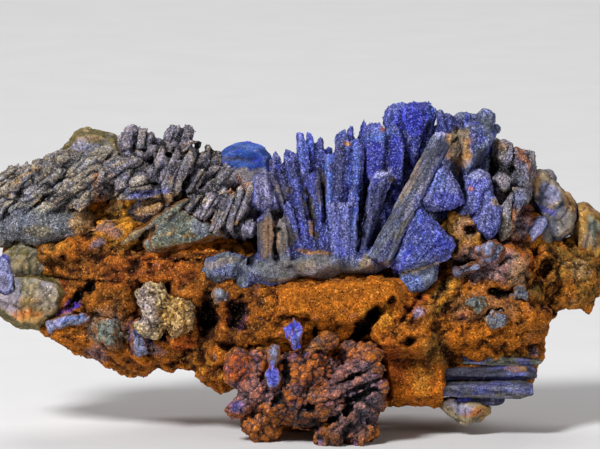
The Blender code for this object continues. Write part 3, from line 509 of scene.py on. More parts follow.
def stone_material(name, grain, light_share, dark_share, fleck, roughness, gloss, bump, vary):
    """A tinted mineral with fine grains of differing brightness, light flecks and dark specks."""
    wiring = Wiring("grown_" + name, roughness, gloss)
    place = wiring.node("ShaderNodeTexCoord").outputs["Object"]
    kept = wiring.node("ShaderNodeAttribute", attribute_name="tint")
    tint, flecks = kept.outputs["Color"], kept.outputs["Alpha"]
    cells = wiring.node("ShaderNodeTexVoronoi", {"Vector": place, "Scale": 1 / (grain * MM)})
    chances = wiring.node("ShaderNodeSeparateColor", {"Color": cells.outputs["Color"]})
    cloud = wiring.node("ShaderNodeTexNoise", {"Vector": place, "Scale": 1 / (2.2 * MM), "Detail": 4.0})
    bright = wiring.span(chances.outputs[0], 0.0, 1.0, 1 - vary, 1 + vary)
    patch = wiring.span(cloud.outputs["Fac"], 0.3, 0.7, 0.8, 1.2)
    level = wiring.maths("MULTIPLY", bright, patch)
    grey = wiring.node("ShaderNodeCombineColor", {"Red": level, "Green": level, "Blue": level}).outputs[0]
    colour = wiring.mix(1.0, tint, grey, "MULTIPLY")
    lit = wiring.mix(1.0, tint, (4.0, 4.0, 4.0, 1.0), "MULTIPLY")
    pale_grain = wiring.mix(wiring.maths("MULTIPLY", flecks, 0.55), lit, (*fleck, 1.0))
    lights = wiring.span(chances.outputs[1], 1 - light_share, 1 - light_share * 0.4, 0.0, 0.8)
    colour = wiring.mix(wiring.maths("MULTIPLY", lights, flecks), colour, pale_grain)
    darks = wiring.span(chances.outputs[2], 1 - dark_share, 1 - dark_share * 0.5, 0.0, 0.8)
    dim = wiring.mix(1.0, tint, (0.12, 0.12, 0.12, 1.0), "MULTIPLY")
    colour = wiring.mix(wiring.maths("MULTIPLY", darks, flecks), colour, dim)
    wiring.feed(colour, wiring.shader.inputs["Base Color"])
    fine = wiring.node("ShaderNodeTexNoise", {"Vector": place, "Scale": 1 / (0.5 * grain * MM), "Detail": 3.0})
    height = wiring.maths("ADD", cells.outputs["Distance"], fine.outputs["Fac"])
    raised = wiring.node("ShaderNodeBump", {"Height": height, "Strength": 0.6, "Distance": bump * MM})
    wiring.feed(raised.outputs[0], wiring.shader.inputs["Normal"])


def make_materials():
    stone_material("gossan", 0.34, 0.10, 0.16, (0.42, 0.24, 0.07), 0.95, 0.15, 0.22, 0.45)
    stone_material("azurite", 0.30, 0.26, 0.26, (0.34, 0.34, 0.56), 0.6, 0.28, 0.24, 0.55)
    stone_material("coated_azurite", 0.32, 0.20, 0.20, (0.40, 0.37, 0.36), 0.85, 0.25, 0.26, 0.5)
    stone_material("grey_crust", 0.34, 0.12, 0.14, (0.30, 0.30, 0.25), 0.9, 0.2, 0.2, 0.4)
    stone_material("pale_crust", 0.40, 0.03, 0.05, (0.40, 0.36, 0.28), 0.7, 0.25, 0.14, 0.22)
    stone_material("druse", 0.45, 0.22, 0.20, (0.60, 0.50, 0.32), 0.7, 0.25, 0.3, 0.5)


ROCK = (Relief("plates", 5.2, 4.0, 1.0, 0.14, 0.24), Relief("soft", 2.4, 2.0, 1.0),
        Relief("plates", 1.5, 1.2, 0.4, 0.18, 0.34), Relief("soft", 0.9, 0.9, 0.6))
BLADED = (Relief("plates", 1.3, 13.0, 0.42, 0.34, 0.40), Relief("plates", 0.6, 5.0, 0.18, 0.20, 0.30),
          Relief("soft", 0.7, 0.7, 0.16))
FINGERED = (Relief("plates", 2.4, 7.0, 0.5, 0.28, 0.45), Relief("plates", 0.9, 2.0, 0.26, 0.20, 0.35),
            Relief("soft", 0.7, 0.7, 0.24))
RIDGED = (Relief("plates", 2.2, 7.0, 0.9, 0.34, 0.40), Relief("plates", 0.9, 2.0, 0.30, 0.20, 0.35),
          Relief("soft", 0.7, 0.7, 0.24))
KNOTTY = (Relief("soft", 3.4, 3.4, 1.8), Relief("plates", 1.8, 2.6, 1.1, 0.50, 0.50),
          Relief("plates", 0.8, 1.2, 0.4, 0.30, 0.40))
NUBBED = (Relief("soft", 2.6, 2.6, 2.0), Relief("plates", 1.5, 2.2, 0.7, 0.40, 0.40),
          Relief("soft", 0.8, 0.8, 0.3))
CRUSTED = (Relief("soft", 3.6, 3.6, 1.0), Relief("plates", 1.8, 3.0, 0.35, 0.30, 0.25),
           Relief("soft", 0.8, 0.8, 0.22))
SMOOTH = (Relief("soft", 4.5, 4.5, 1.3), Relief("plates", 2.6, 3.6, 0.45, 0.26, 0.26),
          Relief("plates", 1.0, 1.3, 0.2, 0.20, 0.26), Relief("soft", 0.8, 0.8, 0.24))
BROKEN = (Relief("soft", 4.2, 4.2, 1.6), Relief("plates", 3.8, 6.5, 0.8, 0.12, 0.26),
          Relief("plates", 1.0, 1.6, 0.16, 0.14, 0.24), Relief("soft", 0.8, 0.8, 0.2))
SUGARED = (Relief("soft", 3.0, 3.0, 2.4), Relief("plates", 1.7, 1.7, 0.7, 0.40, 0.40),
           Relief("knobs", 0.8, 0.8, 0.5, 0.42, 0.45))

GOSSAN_MOTTLES = (Mottle("red", 3.4, 0.16, 0.6), Mottle("orange", 3.0, 0.22, 0.6),
                  Mottle("gold", 2.2, 0.20, 0.6), Mottle("brown", 2.0, 0.26, 0.8), Mottle("slate", 1.9, 0.03, 0.8),
                  Mottle("black", 1.3, 0.05, 0.9))
AZURITE_MOTTLES = (Mottle("royal", 2.2, 0.28, 0.6), Mottle("sky", 1.4, 0.12, 0.45),
                   Mottle("night", 1.3, 0.14, 0.6), Mottle("lavender", 0.8, 0.06, 0.5))
COATED_MOTTLES = (Mottle("taupe", 2.0, 0.26, 0.7), Mottle("slate", 2.0, 0.25, 0.7),
                  Mottle("lavender", 1.3, 0.18, 0.45), Mottle("night", 1.2, 0.10, 0.6),
                  Mottle("cream", 1.0, 0.18, 0.6), Mottle("gold", 1.5, 0.07, 0.6))
CRUST_MOTTLES = (Mottle("slate", 2.0, 0.25, 0.6), Mottle("cream", 1.3, 0.08, 0.5), Mottle("gold", 1.4, 0.08, 0.6),
                 Mottle("night", 0.9, 0.08, 0.6))
PALE_MOTTLES = (Mottle("lavender", 3.0, 0.22, 0.5), Mottle("cream", 2.5, 0.25, 0.5),
                Mottle("slate", 2.2, 0.16, 0.5), Mottle("gold", 1.6, 0.08, 0.6))
NODULE_MOTTLES = (Mottle("violet", 1.9, 0.26, 0.8), Mottle("blue", 1.2, 0.10, 0.8),
                  Mottle("orange", 1.5, 0.2, 0.85), Mottle("red", 1.7, 0.22, 0.85),
                  Mottle("black", 1.0, 0.10, 0.9), Mottle("cream", 0.7, 0.05, 0.6))
NUB_MOTTLES = (Mottle("rust", 1.8, 0.20, 0.85), Mottle("slate", 1.6, 0.30, 0.7), Mottle("night", 1.3, 0.20, 0.8),
               Mottle("lavender", 0.9, 0.10, 0.6))
DRUSE_MOTTLES = (Mottle("gold", 1.4, 0.25, 0.6), Mottle("brown", 1.0, 0.16, 0.85), Mottle("pale", 1.2, 0.3, 0.6))

FINISHES = {
    "gossan": Finish("gossan", "matrix_facet", ROCK, GOSSAN_MOTTLES, "orange", 0.3, "red"),
    "azurite": Finish("azurite", "crystal_facet", BLADED, AZURITE_MOTTLES, "lavender", 0.22, "royal", 0.25),
    "nub": Finish("azurite", "crystal_facet", NUBBED, NUB_MOTTLES, "lavender", 0.3, "brown", 0.0, "rust"),
    "coated": Finish("coated_azurite", "crystal_facet", FINGERED, COATED_MOTTLES, "taupe", 0.4, "night", 1.0),
    "ridged": Finish("coated_azurite", "crystal_facet", RIDGED, COATED_MOTTLES, "pale", 0.45, "slate", 0.6),
    "nodule": Finish("coated_azurite", "crystal_facet", KNOTTY, NODULE_MOTTLES, "orange", 0.3, "violet", 0.5),
    "crust": Finish("grey_crust", "crust_facet", CRUSTED, CRUST_MOTTLES, "pale", 0.4, "olive", 0.0, "rust"),
    "pebble": Finish("grey_crust", "crust_facet", NUBBED, CRUST_MOTTLES, "pale", 0.3, "brown", 0.0, "rust"),
    "pale": Finish("pale_crust", "crust_facet", SMOOTH, PALE_MOTTLES, "cream", 0.3, "olive", 0.0, "olive"),
    "broken": Finish("pale_crust", "crust_facet", BROKEN, PALE_MOTTLES, "cream", 0.3, "slate"),
    "druse": Finish("druse", "crust_facet", SUGARED, DRUSE_MOTTLES, "cream", 0.5, "gold"),
}

# In the stain tables the black and night stains, laid into slits, pits and the gaps between crystals, are painted
# shade.
MATRIX_STAINS = (
    Stain(-50, 44, 14, 8, 0, "red", 0.4),
    Stain(48.5, 17.2, 11, 4.4, 0, "black", 0.95),
    Stain(11, 35, 21, 9.5, 4, "orange", 0.75),
    Stain(11, 35, 20, 8.5, 4, "rust", 0.45),
    Stain(19, 33, 4, 3, 0, "gold", 0.8),
    Stain(-25, 40, 15, 10, 0, "brown", 0.9),
    Stain(-18.5, 33, 10, 8.5, 0, "black", 0.9),
    Stain(-19, 32, 1.8, 5, 0, "red", 0.5),
    Stain(-15.5, 33, 2.0, 3.4, 0, "royal", 0.5),
    Stain(-42, 56.0, 11, 7.0, 0, "gold", 0.9),
    Stain(-38.5, 58.6, 4.5, 1.8, 20, "olive", 0.7),
    Stain(-46.8, 60.6, 2.4, 1.8, 0, "cream", 0.8),
    Stain(-50.6, 61.0, 2.6, 2.0, 0, "orange"),
    Stain(-47.6, 54.6, 3.4, 1.8, -10, "slate", 0.7),
    Stain(-46, 50.6, 5, 2, 0, "olive", 0.6),
    Stain(-22, 51.4, 8, 2, 8, "orange"),
    Stain(-53, 41.5, 13, 8, 10, "rust"),
    Stain(-49, 42, 17, 10, 4, "brown", 0.62),
    Stain(-38, 44, 12, 5, 0, "red", 0.4),
    Stain(-61.0, 38.0, 3.0, 3.4, 0, "red", 0.7),
    Stain(-54.6, 38.4, 4.2, 1.2, 42, "black", 0.9),
    Stain(-57.4, 35.4, 2.4, 0.9, 40, "royal", 0.9),
    Stain(-61.4, 33.6, 1.8, 0.8, 0, "royal", 0.8),
    Stain(-53, 53, 1.6, 1.2, 0, "brown"),
    Stain(-50.2, 51.0, 2.2, 1.0, 20, "slate"),
    Stain(-29, 26, 3.4, 2, 0, "red"),
    Stain(-34.2, 27.8, 1.6, 1.5, 0, "night"),
    Stain(-33.2, 39.8, 1.8, 2.2, 0, "black", 0.8),
    Stain(-47, 24, 18, 5.5, -14, "orange", 0.6),
    Stain(-46, 23, 19, 7.5, -14, "brown", 0.5),
    Stain(-51.0, 23.2, 2.4, 2.6, 0, "violet", 0.6),
    Stain(-38.0, 24.6, 4.0, 1.4, -10, "slate", 0.7),
    Stain(-66, 50, 7, 5, 0, "olive", 0.5),
    Stain(-48.2, 29.6, 5.0, 4.8, -20, "teal"),
    Stain(-40.6, 27.6, 2.6, 4.2, 0, "blue", 0.9),
    Stain(29, 19, 9, 9, 0, "orange", 0.9),
    Stain(22.4, 20, 3.0, 8, 0, "red", 0.7),
    Stain(30.4, 17.8, 2.6, 5, 0, "gold", 0.7),
    Stain(29, 20, 8, 9, 0, "red", 0.25),
    Stain(43, 30, 18, 12, 0, "rust"),
    Stain(42, 27, 7, 5, 0, "orange", 0.6),
    Stain(30.6, 38.6, 8.6, 1.3, 51, "red", 0.9),
    Stain(36.0, 38.4, 8.4, 2.2, 52, "olive", 0.8),
    Stain(37.0, 39.0, 7.0, 0.8, 52, "gold", 0.5),
    Stain(40, 53, 6, 7, 0, "olive"),
    Stain(41, 54.5, 3.0, 3.0, 0, "taupe", 0.5),
    Stain(40.6, 49.4, 3.4, 1.8, 10, "gold", 0.5),
    Stain(54.5, 56.6, 4.0, 5.0, 0, "slate", 0.9),
    Stain(56.6, 59.6, 3.2, 2.2, 0, "night", 0.9),
    Stain(46.6, 46.2, 8.4, 4.8, 0, "slate", 0.75),
    Stain(46, 35, 8, 4, 0, "teal", 0.4),
    Stain(42.2, 54.4, 1.4, 1.4, 0, "brown", 0.8),
    Stain(54.3, 43.8, 2.4, 4.6, 0, "pale", 0.8),
    Stain(58.6, 39.2, 1.8, 1.8, 0, "olive"),
    Stain(34, 25, 3, 3.6, 0, "olive", 0.7),
    Stain(53, 21.4, 5, 2.0, 8, "olive"),
    Stain(52, 21.6, 2.6, 1.0, 8, "gold"),
    Stain(57, 19.4, 2.0, 1.2, 0, "teal"),
    Stain(58.4, 23.6, 1.2, 1.4, 0, "violet"),
    Stain(68, 43, 8, 9, 0, "olive", 0.75),
    Stain(66, 39, 4, 3, 0, "orange", 0.5),
    Stain(70, 44.5, 2.2, 2.4, 0, "cream", 0.7),
    Stain(56.5, 50.0, 1.6, 1.2, 0, "black", 0.9),
    Stain(60.8, 34.5, 1.4, 1.4, 0, "brown"),
    Stain(41.8, 45.6, 3.2, 1.0, 8, "black"),
    Stain(50.8, 38.7, 4.6, 0.9, -5, "black"),
    Stain(29.4, 34.2, 1.4, 1.2, 20, "lavender"),
    Stain(40.9, 32.9, 1.1, 1.0, 0, "night"),
    Stain(44, 17.3, 8, 0.9, -1, "black"),
    Stain(15.8, 30.4, 6.4, 2.0, 49, "black"),
    Stain(4, 29.3, 1.0, 1.9, 0, "black"),
    Stain(-56, 41.8, 11.0, 0.5, -4, "brown"),
    Stain(-19, 32.5, 9, 7, 0, "black", 0.5),
)
MATRIX_PITS = (
    Pit(15.8, 30.4, 5.8, 1.6, 49, 9.0),
    Pit(18.4, 33.4, 1.6, 1.6, 0, 5.0),
    Pit(-22.6, 33.0, 2.2, 5.2, 0, 5.0),
    Pit(-15.6, 33.4, 2.4, 4.0, 0, 4.0),
    Pit(4.0, 29.3, 0.9, 1.7, 0, 3.0),
    Pit(30.6, 38.6, 8.4, 0.9, 51, 2.2),
    Pit(36.0, 38.4, 8.0, 1.8, 52, -1.2),
    Pit(41.8, 45.6, 3.2, 0.9, 8, 3.0),
    Pit(50.8, 38.7, 4.6, 0.8, -5, 3.2),
    Pit(60.8, 34.5, 1.4, 1.4, 0, 1.5),
    Pit(61.2, 45.4, 2.6, 4.0, 0, -5.0),
    Pit(60.0, 30.8, 3.5, 4.6, -15, 0.0, 1.6),
    Pit(42.2, 54.4, 1.4, 1.4, 0, 2.2),
    Pit(38.4, 50.8, 0.9, 1.8, 30, 2.2),
    Pit(-60.0, 27.4, 4.0, 3.0, 0, 0.0, -2.6, 1.2),
    Pit(-52.0, 22.8, 5.0, 2.8, -20, 0.0, 0.0, 0.7),
    Pit(-28.0, 18.8, 3.2, 2.6, 0, 0.0, 0.0, 1.5),
    Pit(-30.5, 48.6, 10.0, 2.0, 6, -2.5),
    Pit(-54.6, 38.4, 4.2, 1.1, 42, 3.4),
    Pit(-53.0, 53.0, 1.5, 1.2, 0, 2.4),
    Pit(-33.2, 39.8, 1.5, 2.0, 0, 3.0),
    Pit(-34.2, 27.8, 1.2, 1.2, 0, 2.0),
    Pit(-59.2, 47.6, 1.0, 0.9, 0, 2.0),
    Pit(-56.0, 42.0, 10.0, 0.4, -4, 1.4),
    Pit(27.0, 26.4, 1.8, 1.2, 20, 2.4),
    Pit(-44.0, 57.0, 13.0, 9.0, 0, -2.8),
)
FAN_STAINS = (
    Stain(-8.0, 64.2, 4.4, 4.8, 0, "violet"),
    Stain(-8.8, 70.8, 2.2, 1.8, 0, "cream", 0.5),
    Stain(-5.5, 63.7, 4.0, 0.5, -67, "taupe"),
    Stain(-1.2, 69.8, 1.6, 1.9, 0, "night", 0.8),
    Stain(-2.8, 64.2, 1.1, 1.0, 0, "cream", 0.8),
    Stain(11.0, 54.0, 4.6, 6.6, 0, "lavender", 0.25),
    Stain(2.4, 59.0, 8.6, 0.7, -79, "olive"),
    Stain(2.8, 55.0, 2.6, 0.5, -80, "gold", 0.7),
    Stain(1.2, 75.5, 2.6, 3.0, 0, "sky", 0.4),
    Stain(5.4, 64.2, 6.4, 0.8, -88, "olive", 0.8),
    Stain(7.1, 65.5, 7.6, 0.9, -88, "sky", 0.7),
    Stain(10.0, 69.2, 8.6, 2.2, 88, "night", 0.9),
    Stain(11.8, 76.0, 0.9, 0.6, -40, "gold"),
    Stain(13.9, 65.0, 14.0, 1.6, -89, "sky", 0.4),
    Stain(15.7, 59.0, 9.8, 0.9, 84, "black"),
    Stain(18.8, 71.8, 2.8, 5.0, 0, "royal"),
    Stain(23.8, 73.0, 2.4, 5.0, 0, "royal"),
    Stain(21.0, 72.0, 4.4, 7.0, 0, "night", 0.5),
    Stain(20.5, 78.0, 5.2, 1.3, 8, "sky", 0.7),
    Stain(20.6, 79.4, 0.9, 0.6, 0, "orange", 0.8),
    Stain(23.0, 83.0, 2.2, 3.6, 0, "blue"),
    Stain(29.0, 82.0, 4.0, 4.4, 0, "royal"),
    Stain(32.8, 83.0, 0.9, 2.4, 0, "sky", 0.6),
    Stain(31.9, 79.6, 0.9, 1.8, 0, "black"),
    Stain(18.4, 57.4, 9.8, 2.6, 74, "night"),
    Stain(20.8, 68.4, 2.3, 0.8, 15, "lavender"),
    Stain(23.0, 66.8, 0.8, 0.8, 0, "cream"),
    Stain(9.8, 60.6, 4.8, 0.8, 0, "lavender", 0.5),
    Stain(-6.6, 53.0, 5.2, 6.8, 0, "olive"),
    Stain(-7.4, 52.0, 2.2, 5.6, 0, "gold", 0.4),
    Stain(-3.8, 56.5, 2.0, 2.0, 0, "taupe", 0.5),
    Stain(-12.2, 48.6, 1.6, 4.4, 0, "black"),
    Stain(2.5, 44.5, 18.0, 3.6, 1, "teal"),
    Stain(5.0, 44.4, 13.0, 2.8, 1, "pale", 0.8),
    Stain(3.4, 43.6, 5.6, 2.0, 0, "taupe", 0.7),
    Stain(12.0, 46.4, 5.0, 1.3, 0, "slate", 0.7),
    Stain(3.2, 48.7, 3.9, 0.7, -6, "gold"),
    Stain(16.5, 45.8, 1.6, 1.6, 0, "cream"),
    Stain(1.5, 45.2, 2.6, 1.6, 0, "cream", 0.6),
    Stain(1.0, 42.0, 9.0, 0.5, 2, "cream", 0.8),
    Stain(2.0, 44.4, 17.0, 3.0, 1, "olive", 0.3),
    Stain(-18.0, 43.5, 7.0, 5.5, 0, "teal"),
    Stain(-19.0, 44.5, 2.4, 1.8, 0, "blue", 0.3),
    Stain(-20.0, 46.0, 5.0, 1.0, 10, "cream", 0.5),
    Stain(-11.5, 40.0, 2.4, 4.4, 0, "slate"),
)
FAN_AXES = (
    (-9.0, 58.0, -9.5, 68.0), (-3.4, 59.0, -6.6, 70.0), (-6.2, 66.0, -6.2, 73.8), (-0.2, 60.0, -2.9, 74.0),
    (2.3, 60.0, 0.1, 78.2), (3.4, 60.0, 2.5, 78.2), (5.0, 53.0, 4.9, 76.9), (7.2, 52.0, 6.9, 74.6),
    (9.4, 57.0, 10.6, 78.9), (11.8, 59.0, 12.4, 79.8), (13.5, 48.8, 14.0, 76.8), (15.4, 66.0, 15.7, 81.6),
    (18.5, 64.0, 19.2, 79.0), (23.0, 66.0, 24.2, 79.4), (23.4, 79.0, 23.8, 86.0), (28.5, 70.0, 29.6, 86.0),
    (31.4, 74.0, 33.6, 84.6), (15.0, 47.2, 20.3, 68.4), (-0.1, 48.4, -3.5, 60.8), (2.4, 48.4, -0.8, 63.6),
    (4.0, 49.2, 1.3, 67.4), (6.0, 48.4, 3.2, 68.6), (9.0, 47.4, 8.4, 60.2), (11.3, 47.4, 11.0, 60.9),
    (13.2, 47.4, 13.6, 64.6), (-8.6, 45.5, -8.4, 58.8), (-3.4, 45.5, -4.6, 56.6), (-18.0, 40.0, -17.0, 48.0),
)
FAN_PITS = (
    Pit(15.7, 58.0, 9.0, 0.5, 84, 2.4),
    Pit(5.9, 62.0, 7.0, 0.35, -86, 1.6),
    Pit(2.6, 59.0, 7.0, 0.35, -80, 1.4),
    Pit(-12.2, 48.6, 1.0, 4.0, 0, 3.0),
    Pit(-6.0, 51.0, 5.0, 0.5, 90, 2.0),
    Pit(20.4, 79.0, 4.4, 3.4, 0, 0.0, 0.0, 1.6),
)
LOG_STAINS = (
    Stain(28.0, 62.0, 20.0, 4.0, 62, "ash", 0.9),
    Stain(30.0, 60.6, 16.0, 1.3, 62, "blue", 0.6),
    Stain(27.5, 66.8, 7.6, 0.8, 59, "cream", 0.6),
    Stain(25.6, 55.6, 4.0, 0.9, 62, "olive", 0.7),
    Stain(29.8, 64.0, 9.0, 1.0, 60, "violet", 0.8),
    Stain(35.0, 78.0, 2.0, 1.2, 0, "lavender"),
    Stain(35.4, 74.8, 1.8, 2.6, 0, "night", 0.8),
    Stain(38.6, 75.6, 1.9, 4.0, 0, "gold", 0.9),
    Stain(38.6, 76.4, 1.3, 2.6, 0, "cream", 0.8),
    Stain(21.2, 46.0, 2.6, 0.8, 10, "brown"),
)
SHIELD_STAINS = (
    Stain(34.5, 65.0, 6.0, 7.0, 0, "lavender", 0.55),
    Stain(33.0, 67.0, 4.0, 3.0, 0, "sky", 0.5),
    Stain(37.5, 61.5, 4.0, 2.2, 0, "royal", 0.6),
)
LOW_SHIELD_STAINS = (
    Stain(30.0, 42.0, 6.0, 4.0, 15, "teal", 0.9),
    Stain(30.6, 44.8, 6.0, 0.4, 15, "cream"),
    Stain(29.0, 41.5, 4.4, 2.0, 10, "sky", 0.5),
    Stain(32.0, 42.0, 2.0, 2.6, 0, "teal", 0.8),
)
TONGUE_STAINS = (
    Stain(44.0, 62.0, 6.0, 8.0, 0, "lavender", 0.3),
    Stain(44.4, 68.4, 3.4, 1.4, 0, "lavender"),
    Stain(42.5, 64.5, 0.6, 0.6, 0, "orange"),
    Stain(48.6, 61.0, 1.0, 1.2, 0, "cream"),
)
RIMMED_STAINS = (
    Stain(52.0, 58.0, 5.0, 9.0, 0, "lavender", 0.15),
    Stain(50.6, 53.5, 1.4, 4.6, 0, "olive", 0.6),
    Stain(50.5, 61.0, 2.2, 3.0, 0, "lavender", 0.5),
    Stain(53.2, 57.0, 0.6, 3.8, -6, "orange"),
    Stain(55.0, 62.0, 1.9, 2.5, 0, "sky", 0.6),
)
CROWN_STAINS = (
    Stain(36.5, 80.0, 2.4, 3.6, 0, "blue"),
    Stain(39.4, 74.6, 3.2, 4.6, 10, "gold"),
    Stain(40.4, 78.2, 2.6, 1.4, 0, "cream", 0.9),
    Stain(38.8, 75.6, 1.8, 3.2, 10, "cream", 0.8),
    Stain(39.2, 69.0, 0.9, 0.9, 0, "cream"),
    Stain(44.0, 77.0, 2.0, 3.5, -20, "blue", 0.7),
    Stain(46.5, 81.4, 1.6, 2.2, 0, "teal"),
    Stain(45.6, 71.6, 2.2, 2.8, 0, "black", 0.8),
)
SHOULDER_STAINS = (
    Stain(53.0, 71.0, 6.0, 9.0, 0, "lavender", 0.2),
    Stain(50.4, 73.0, 2.2, 3.6, 0, "olive", 0.6),
    Stain(50.0, 75.5, 1.2, 1.4, 0, "gold", 0.6),
    Stain(53.6, 71.0, 2.4, 4.6, 0, "lavender", 0.6),
    Stain(54.0, 67.0, 2.2, 3.0, 0, "slate"),
    Stain(56.4, 72.0, 4.4, 1.0, -60, "orange", 0.9),
    Stain(51.0, 63.4, 1.6, 1.6, 0, "black"),
)
FINGER_STAINS = (
    Stain(-35.0, 70.0, 13.0, 8.0, 0, "night", 0.18),
    Stain(-42.8, 77.0, 2.8, 2.9, 0, "violet"),
    Stain(-40.0, 70.4, 2.5, 1.9, 0, "night", 0.8),
    Stain(-39.8, 66.0, 3.0, 2.2, 0, "taupe"),
    Stain(-36.0, 60.4, 6.5, 2.0, 22, "gold", 0.9),
    Stain(-13.8, 66.8, 1.4, 2.0, 0, "orange"),
    Stain(-17.0, 64.0, 1.0, 1.0, 0, "orange"),
    Stain(-45.6, 61.8, 2.4, 1.6, 0, "cream", 0.8),
    Stain(-37.8, 63.4, 5.2, 0.9, 6, "blue"),
    Stain(-15.5, 56.0, 0.7, 0.7, 0, "gold"),
    Stain(-12.5, 54.9, 1.8, 1.9, 0, "lavender"),
)
FINGER_AXES = (
    (-43.0, 74.8, -42.0, 79.5), (-40.0, 74.2, -39.2, 79.0), (-37.5, 74.2, -37.0, 78.0), (-33.0, 74.2, -31.0, 79.5),
    (-29.2, 74.2, -28.0, 79.5), (-35.5, 68.0, -33.8, 74.2), (-33.2, 64.2, -30.5, 74.2), (-30.5, 65.0, -27.5, 73.0),
    (-27.5, 65.0, -23.8, 71.2), (-42.5, 66.8, -37.5, 68.8), (-47.5, 68.8, -41.2, 71.8), (-46.2, 64.2, -43.0, 68.0),
    (-30.0, 57.2, -25.0, 63.0), (-26.8, 56.2, -21.2, 65.5), (-23.8, 53.2, -19.5, 61.8), (-20.8, 52.8, -17.0, 63.0),
    (-17.8, 55.5, -14.8, 63.8), (-15.0, 56.2, -12.0, 65.5), (-22.0, 64.2, -17.0, 70.5), (-18.8, 63.8, -13.8, 69.8),
    (-25.0, 64.2, -21.2, 70.5), (-44.0, 62.2, -36.0, 63.4),
)
TEAL_STAINS = (
    Stain(-38.8, 56.4, 8.5, 1.5, 43, "gold", 0.9),
    Stain(-37.4, 57.8, 8.0, 0.5, 43, "cream", 0.7),
    Stain(-31.0, 49.0, 9.0, 1.6, 8, "rust", 0.7),
    Stain(-24.0, 55.0, 3.0, 2.0, 0, "slate", 0.8),
    Stain(-33.0, 50.0, 5.0, 1.2, 6, "olive", 0.8),
)
RIDGE_STAINS = (
    Stain(-65.0, 55.0, 14.0, 5.0, 0, "teal"),
    Stain(-65.0, 54.0, 14.0, 4.0, 0, "ash", 0.5),
    Stain(-66.0, 55.0, 13.0, 4.0, 0, "slate", 0.5),
    Stain(-54.0, 56.5, 3.6, 4.6, 0, "gold", 0.8),
    Stain(-72.0, 57.0, 6.0, 3.0, 0, "slate", 0.6),
    Stain(-66.0, 54.0, 4.0, 1.4, 0, "olive", 0.7),
    Stain(-64.0, 66.0, 9.0, 1.2, 34, "lavender", 0.5),
    Stain(-56.0, 64.0, 3.0, 2.0, 30, "cream", 0.5),
    Stain(-49.6, 61.4, 1.8, 2.8, 0, "orange"),
    Stain(-51.0, 66.0, 0.8, 3.6, 0, "orange", 0.7),
    Stain(-60.0, 68.5, 12.0, 2.0, 24, "pale", 0.5),
)
RIDGE_AXES = (
    (-61.8, 61.4, -51.8, 67.8), (-67.8, 63.6, -59.6, 69.4), (-59.6, 64.6, -50.8, 70.8), (-73.8, 63.6, -66.4, 68.6),
    (-65.6, 67.0, -57.2, 72.2), (-57.0, 68.6, -48.4, 73.6), (-71.8, 58.8, -63.8, 65.0), (-66.4, 57.6, -58.6, 63.4),
    (-56.0, 60.4, -50.2, 65.4), (-78.0, 65.4, -70.4, 70.2), (-52.0, 63.0, -46.8, 72.0), (-78.2, 57.6, -72.4, 62.6),
)
DRUSE_STAINS = (
    Stain(-38.4, 35.5, 2.8, 6.0, 0, "lavender", 0.5),
    Stain(-36.0, 39.0, 2.4, 1.8, 0, "cream", 0.7),
    Stain(-30.5, 33.0, 3.8, 6.0, 0, "gold", 0.7),
    Stain(-31.0, 29.0, 4.4, 1.8, 0, "rust", 0.6),
    Stain(-34.6, 33.6, 1.6, 1.2, 0, "gold", 0.8),
    Stain(-27.2, 36.0, 1.0, 2.0, 0, "brown", 0.8),
)
PALE_BACK_STAINS = (
    Stain(-54.0, 77.6, 5.0, 1.6, 0, "gold", 0.4),
    Stain(-57.0, 74.0, 4.0, 2.4, 20, "lavender", 0.8),
    Stain(-51.0, 74.4, 2.6, 0.9, 0, "sky", 0.6),
)
BLUE_BACK_STAINS = (
    Stain(-14.0, 75.6, 7.0, 0.6, -4, "sky", 0.7),
    Stain(-16.0, 72.0, 5.0, 0.7, -8, "ash", 0.7),
    Stain(-15.0, 71.0, 4.0, 0.8, 0, "sky", 0.6),
    Stain(-14.0, 67.0, 8.0, 2.6, 0, "taupe"),
    Stain(-10.0, 68.0, 3.0, 1.6, 0, "violet", 0.7),
)
PALE_RIGHT_STAINS = (
    Stain(62.0, 59.0, 9.0, 11.0, 0, "ash", 0.55),
    Stain(63.4, 66.4, 5.4, 1.2, -42, "cream", 0.6),
    Stain(58.8, 66.2, 1.4, 3.2, 0, "gold", 0.7),
    Stain(67.6, 61.2, 1.8, 3.4, 0, "gold", 0.8),
    Stain(58.6, 60.0, 3.0, 2.4, 0, "night", 0.8),
    Stain(62.6, 58.8, 3.6, 0.8, -25, "royal", 0.6),
    Stain(62.0, 63.4, 2.6, 2.6, 20, "lavender", 0.7),
    Stain(66.0, 56.0, 2.2, 3.0, 0, "taupe", 0.7),
    Stain(60.0, 53.0, 3.0, 1.6, 0, "taupe", 0.5),
)
SLAB_STAINS = (
    Stain(72.5, 53.0, 5.0, 8.0, 0, "gold", 0.55),
    Stain(72.5, 53.0, 5.0, 9.0, 0, "rust", 0.45),
    Stain(73.8, 55.0, 1.4, 3.2, 0, "teal"),
    Stain(72.0, 51.0, 1.4, 3.0, 0, "taupe", 0.6),
    Stain(70.6, 57.0, 1.6, 3.0, 0, "gold", 0.9),
    Stain(74.0, 48.0, 3.0, 3.0, 0, "gold", 0.8),
)
PALE_LEFT_STAINS = (
    Stain(-67.0, 32.5, 11.0, 5.6, 0, "gold", 0.6),
    Stain(-67.0, 32.0, 11.0, 5.0, 0, "brown", 0.55),
    Stain(-64.0, 36.0, 5.0, 3.0, 0, "olive", 0.5),
    Stain(-68.6, 33.0, 3.6, 1.6, 0, "orange"),
    Stain(-67.0, 46.0, 6.0, 3.4, 0, "olive", 0.4),
    Stain(-73.0, 38.0, 3.4, 5.0, 0, "lavender", 0.5),
    Stain(-62.0, 38.0, 3.0, 4.0, 0, "taupe", 0.8),
    Stain(-68.0, 30.6, 8.0, 2.0, 0, "gold", 0.6),
    Stain(-66.0, 42.6, 8.0, 0.5, -4, "brown"),
)
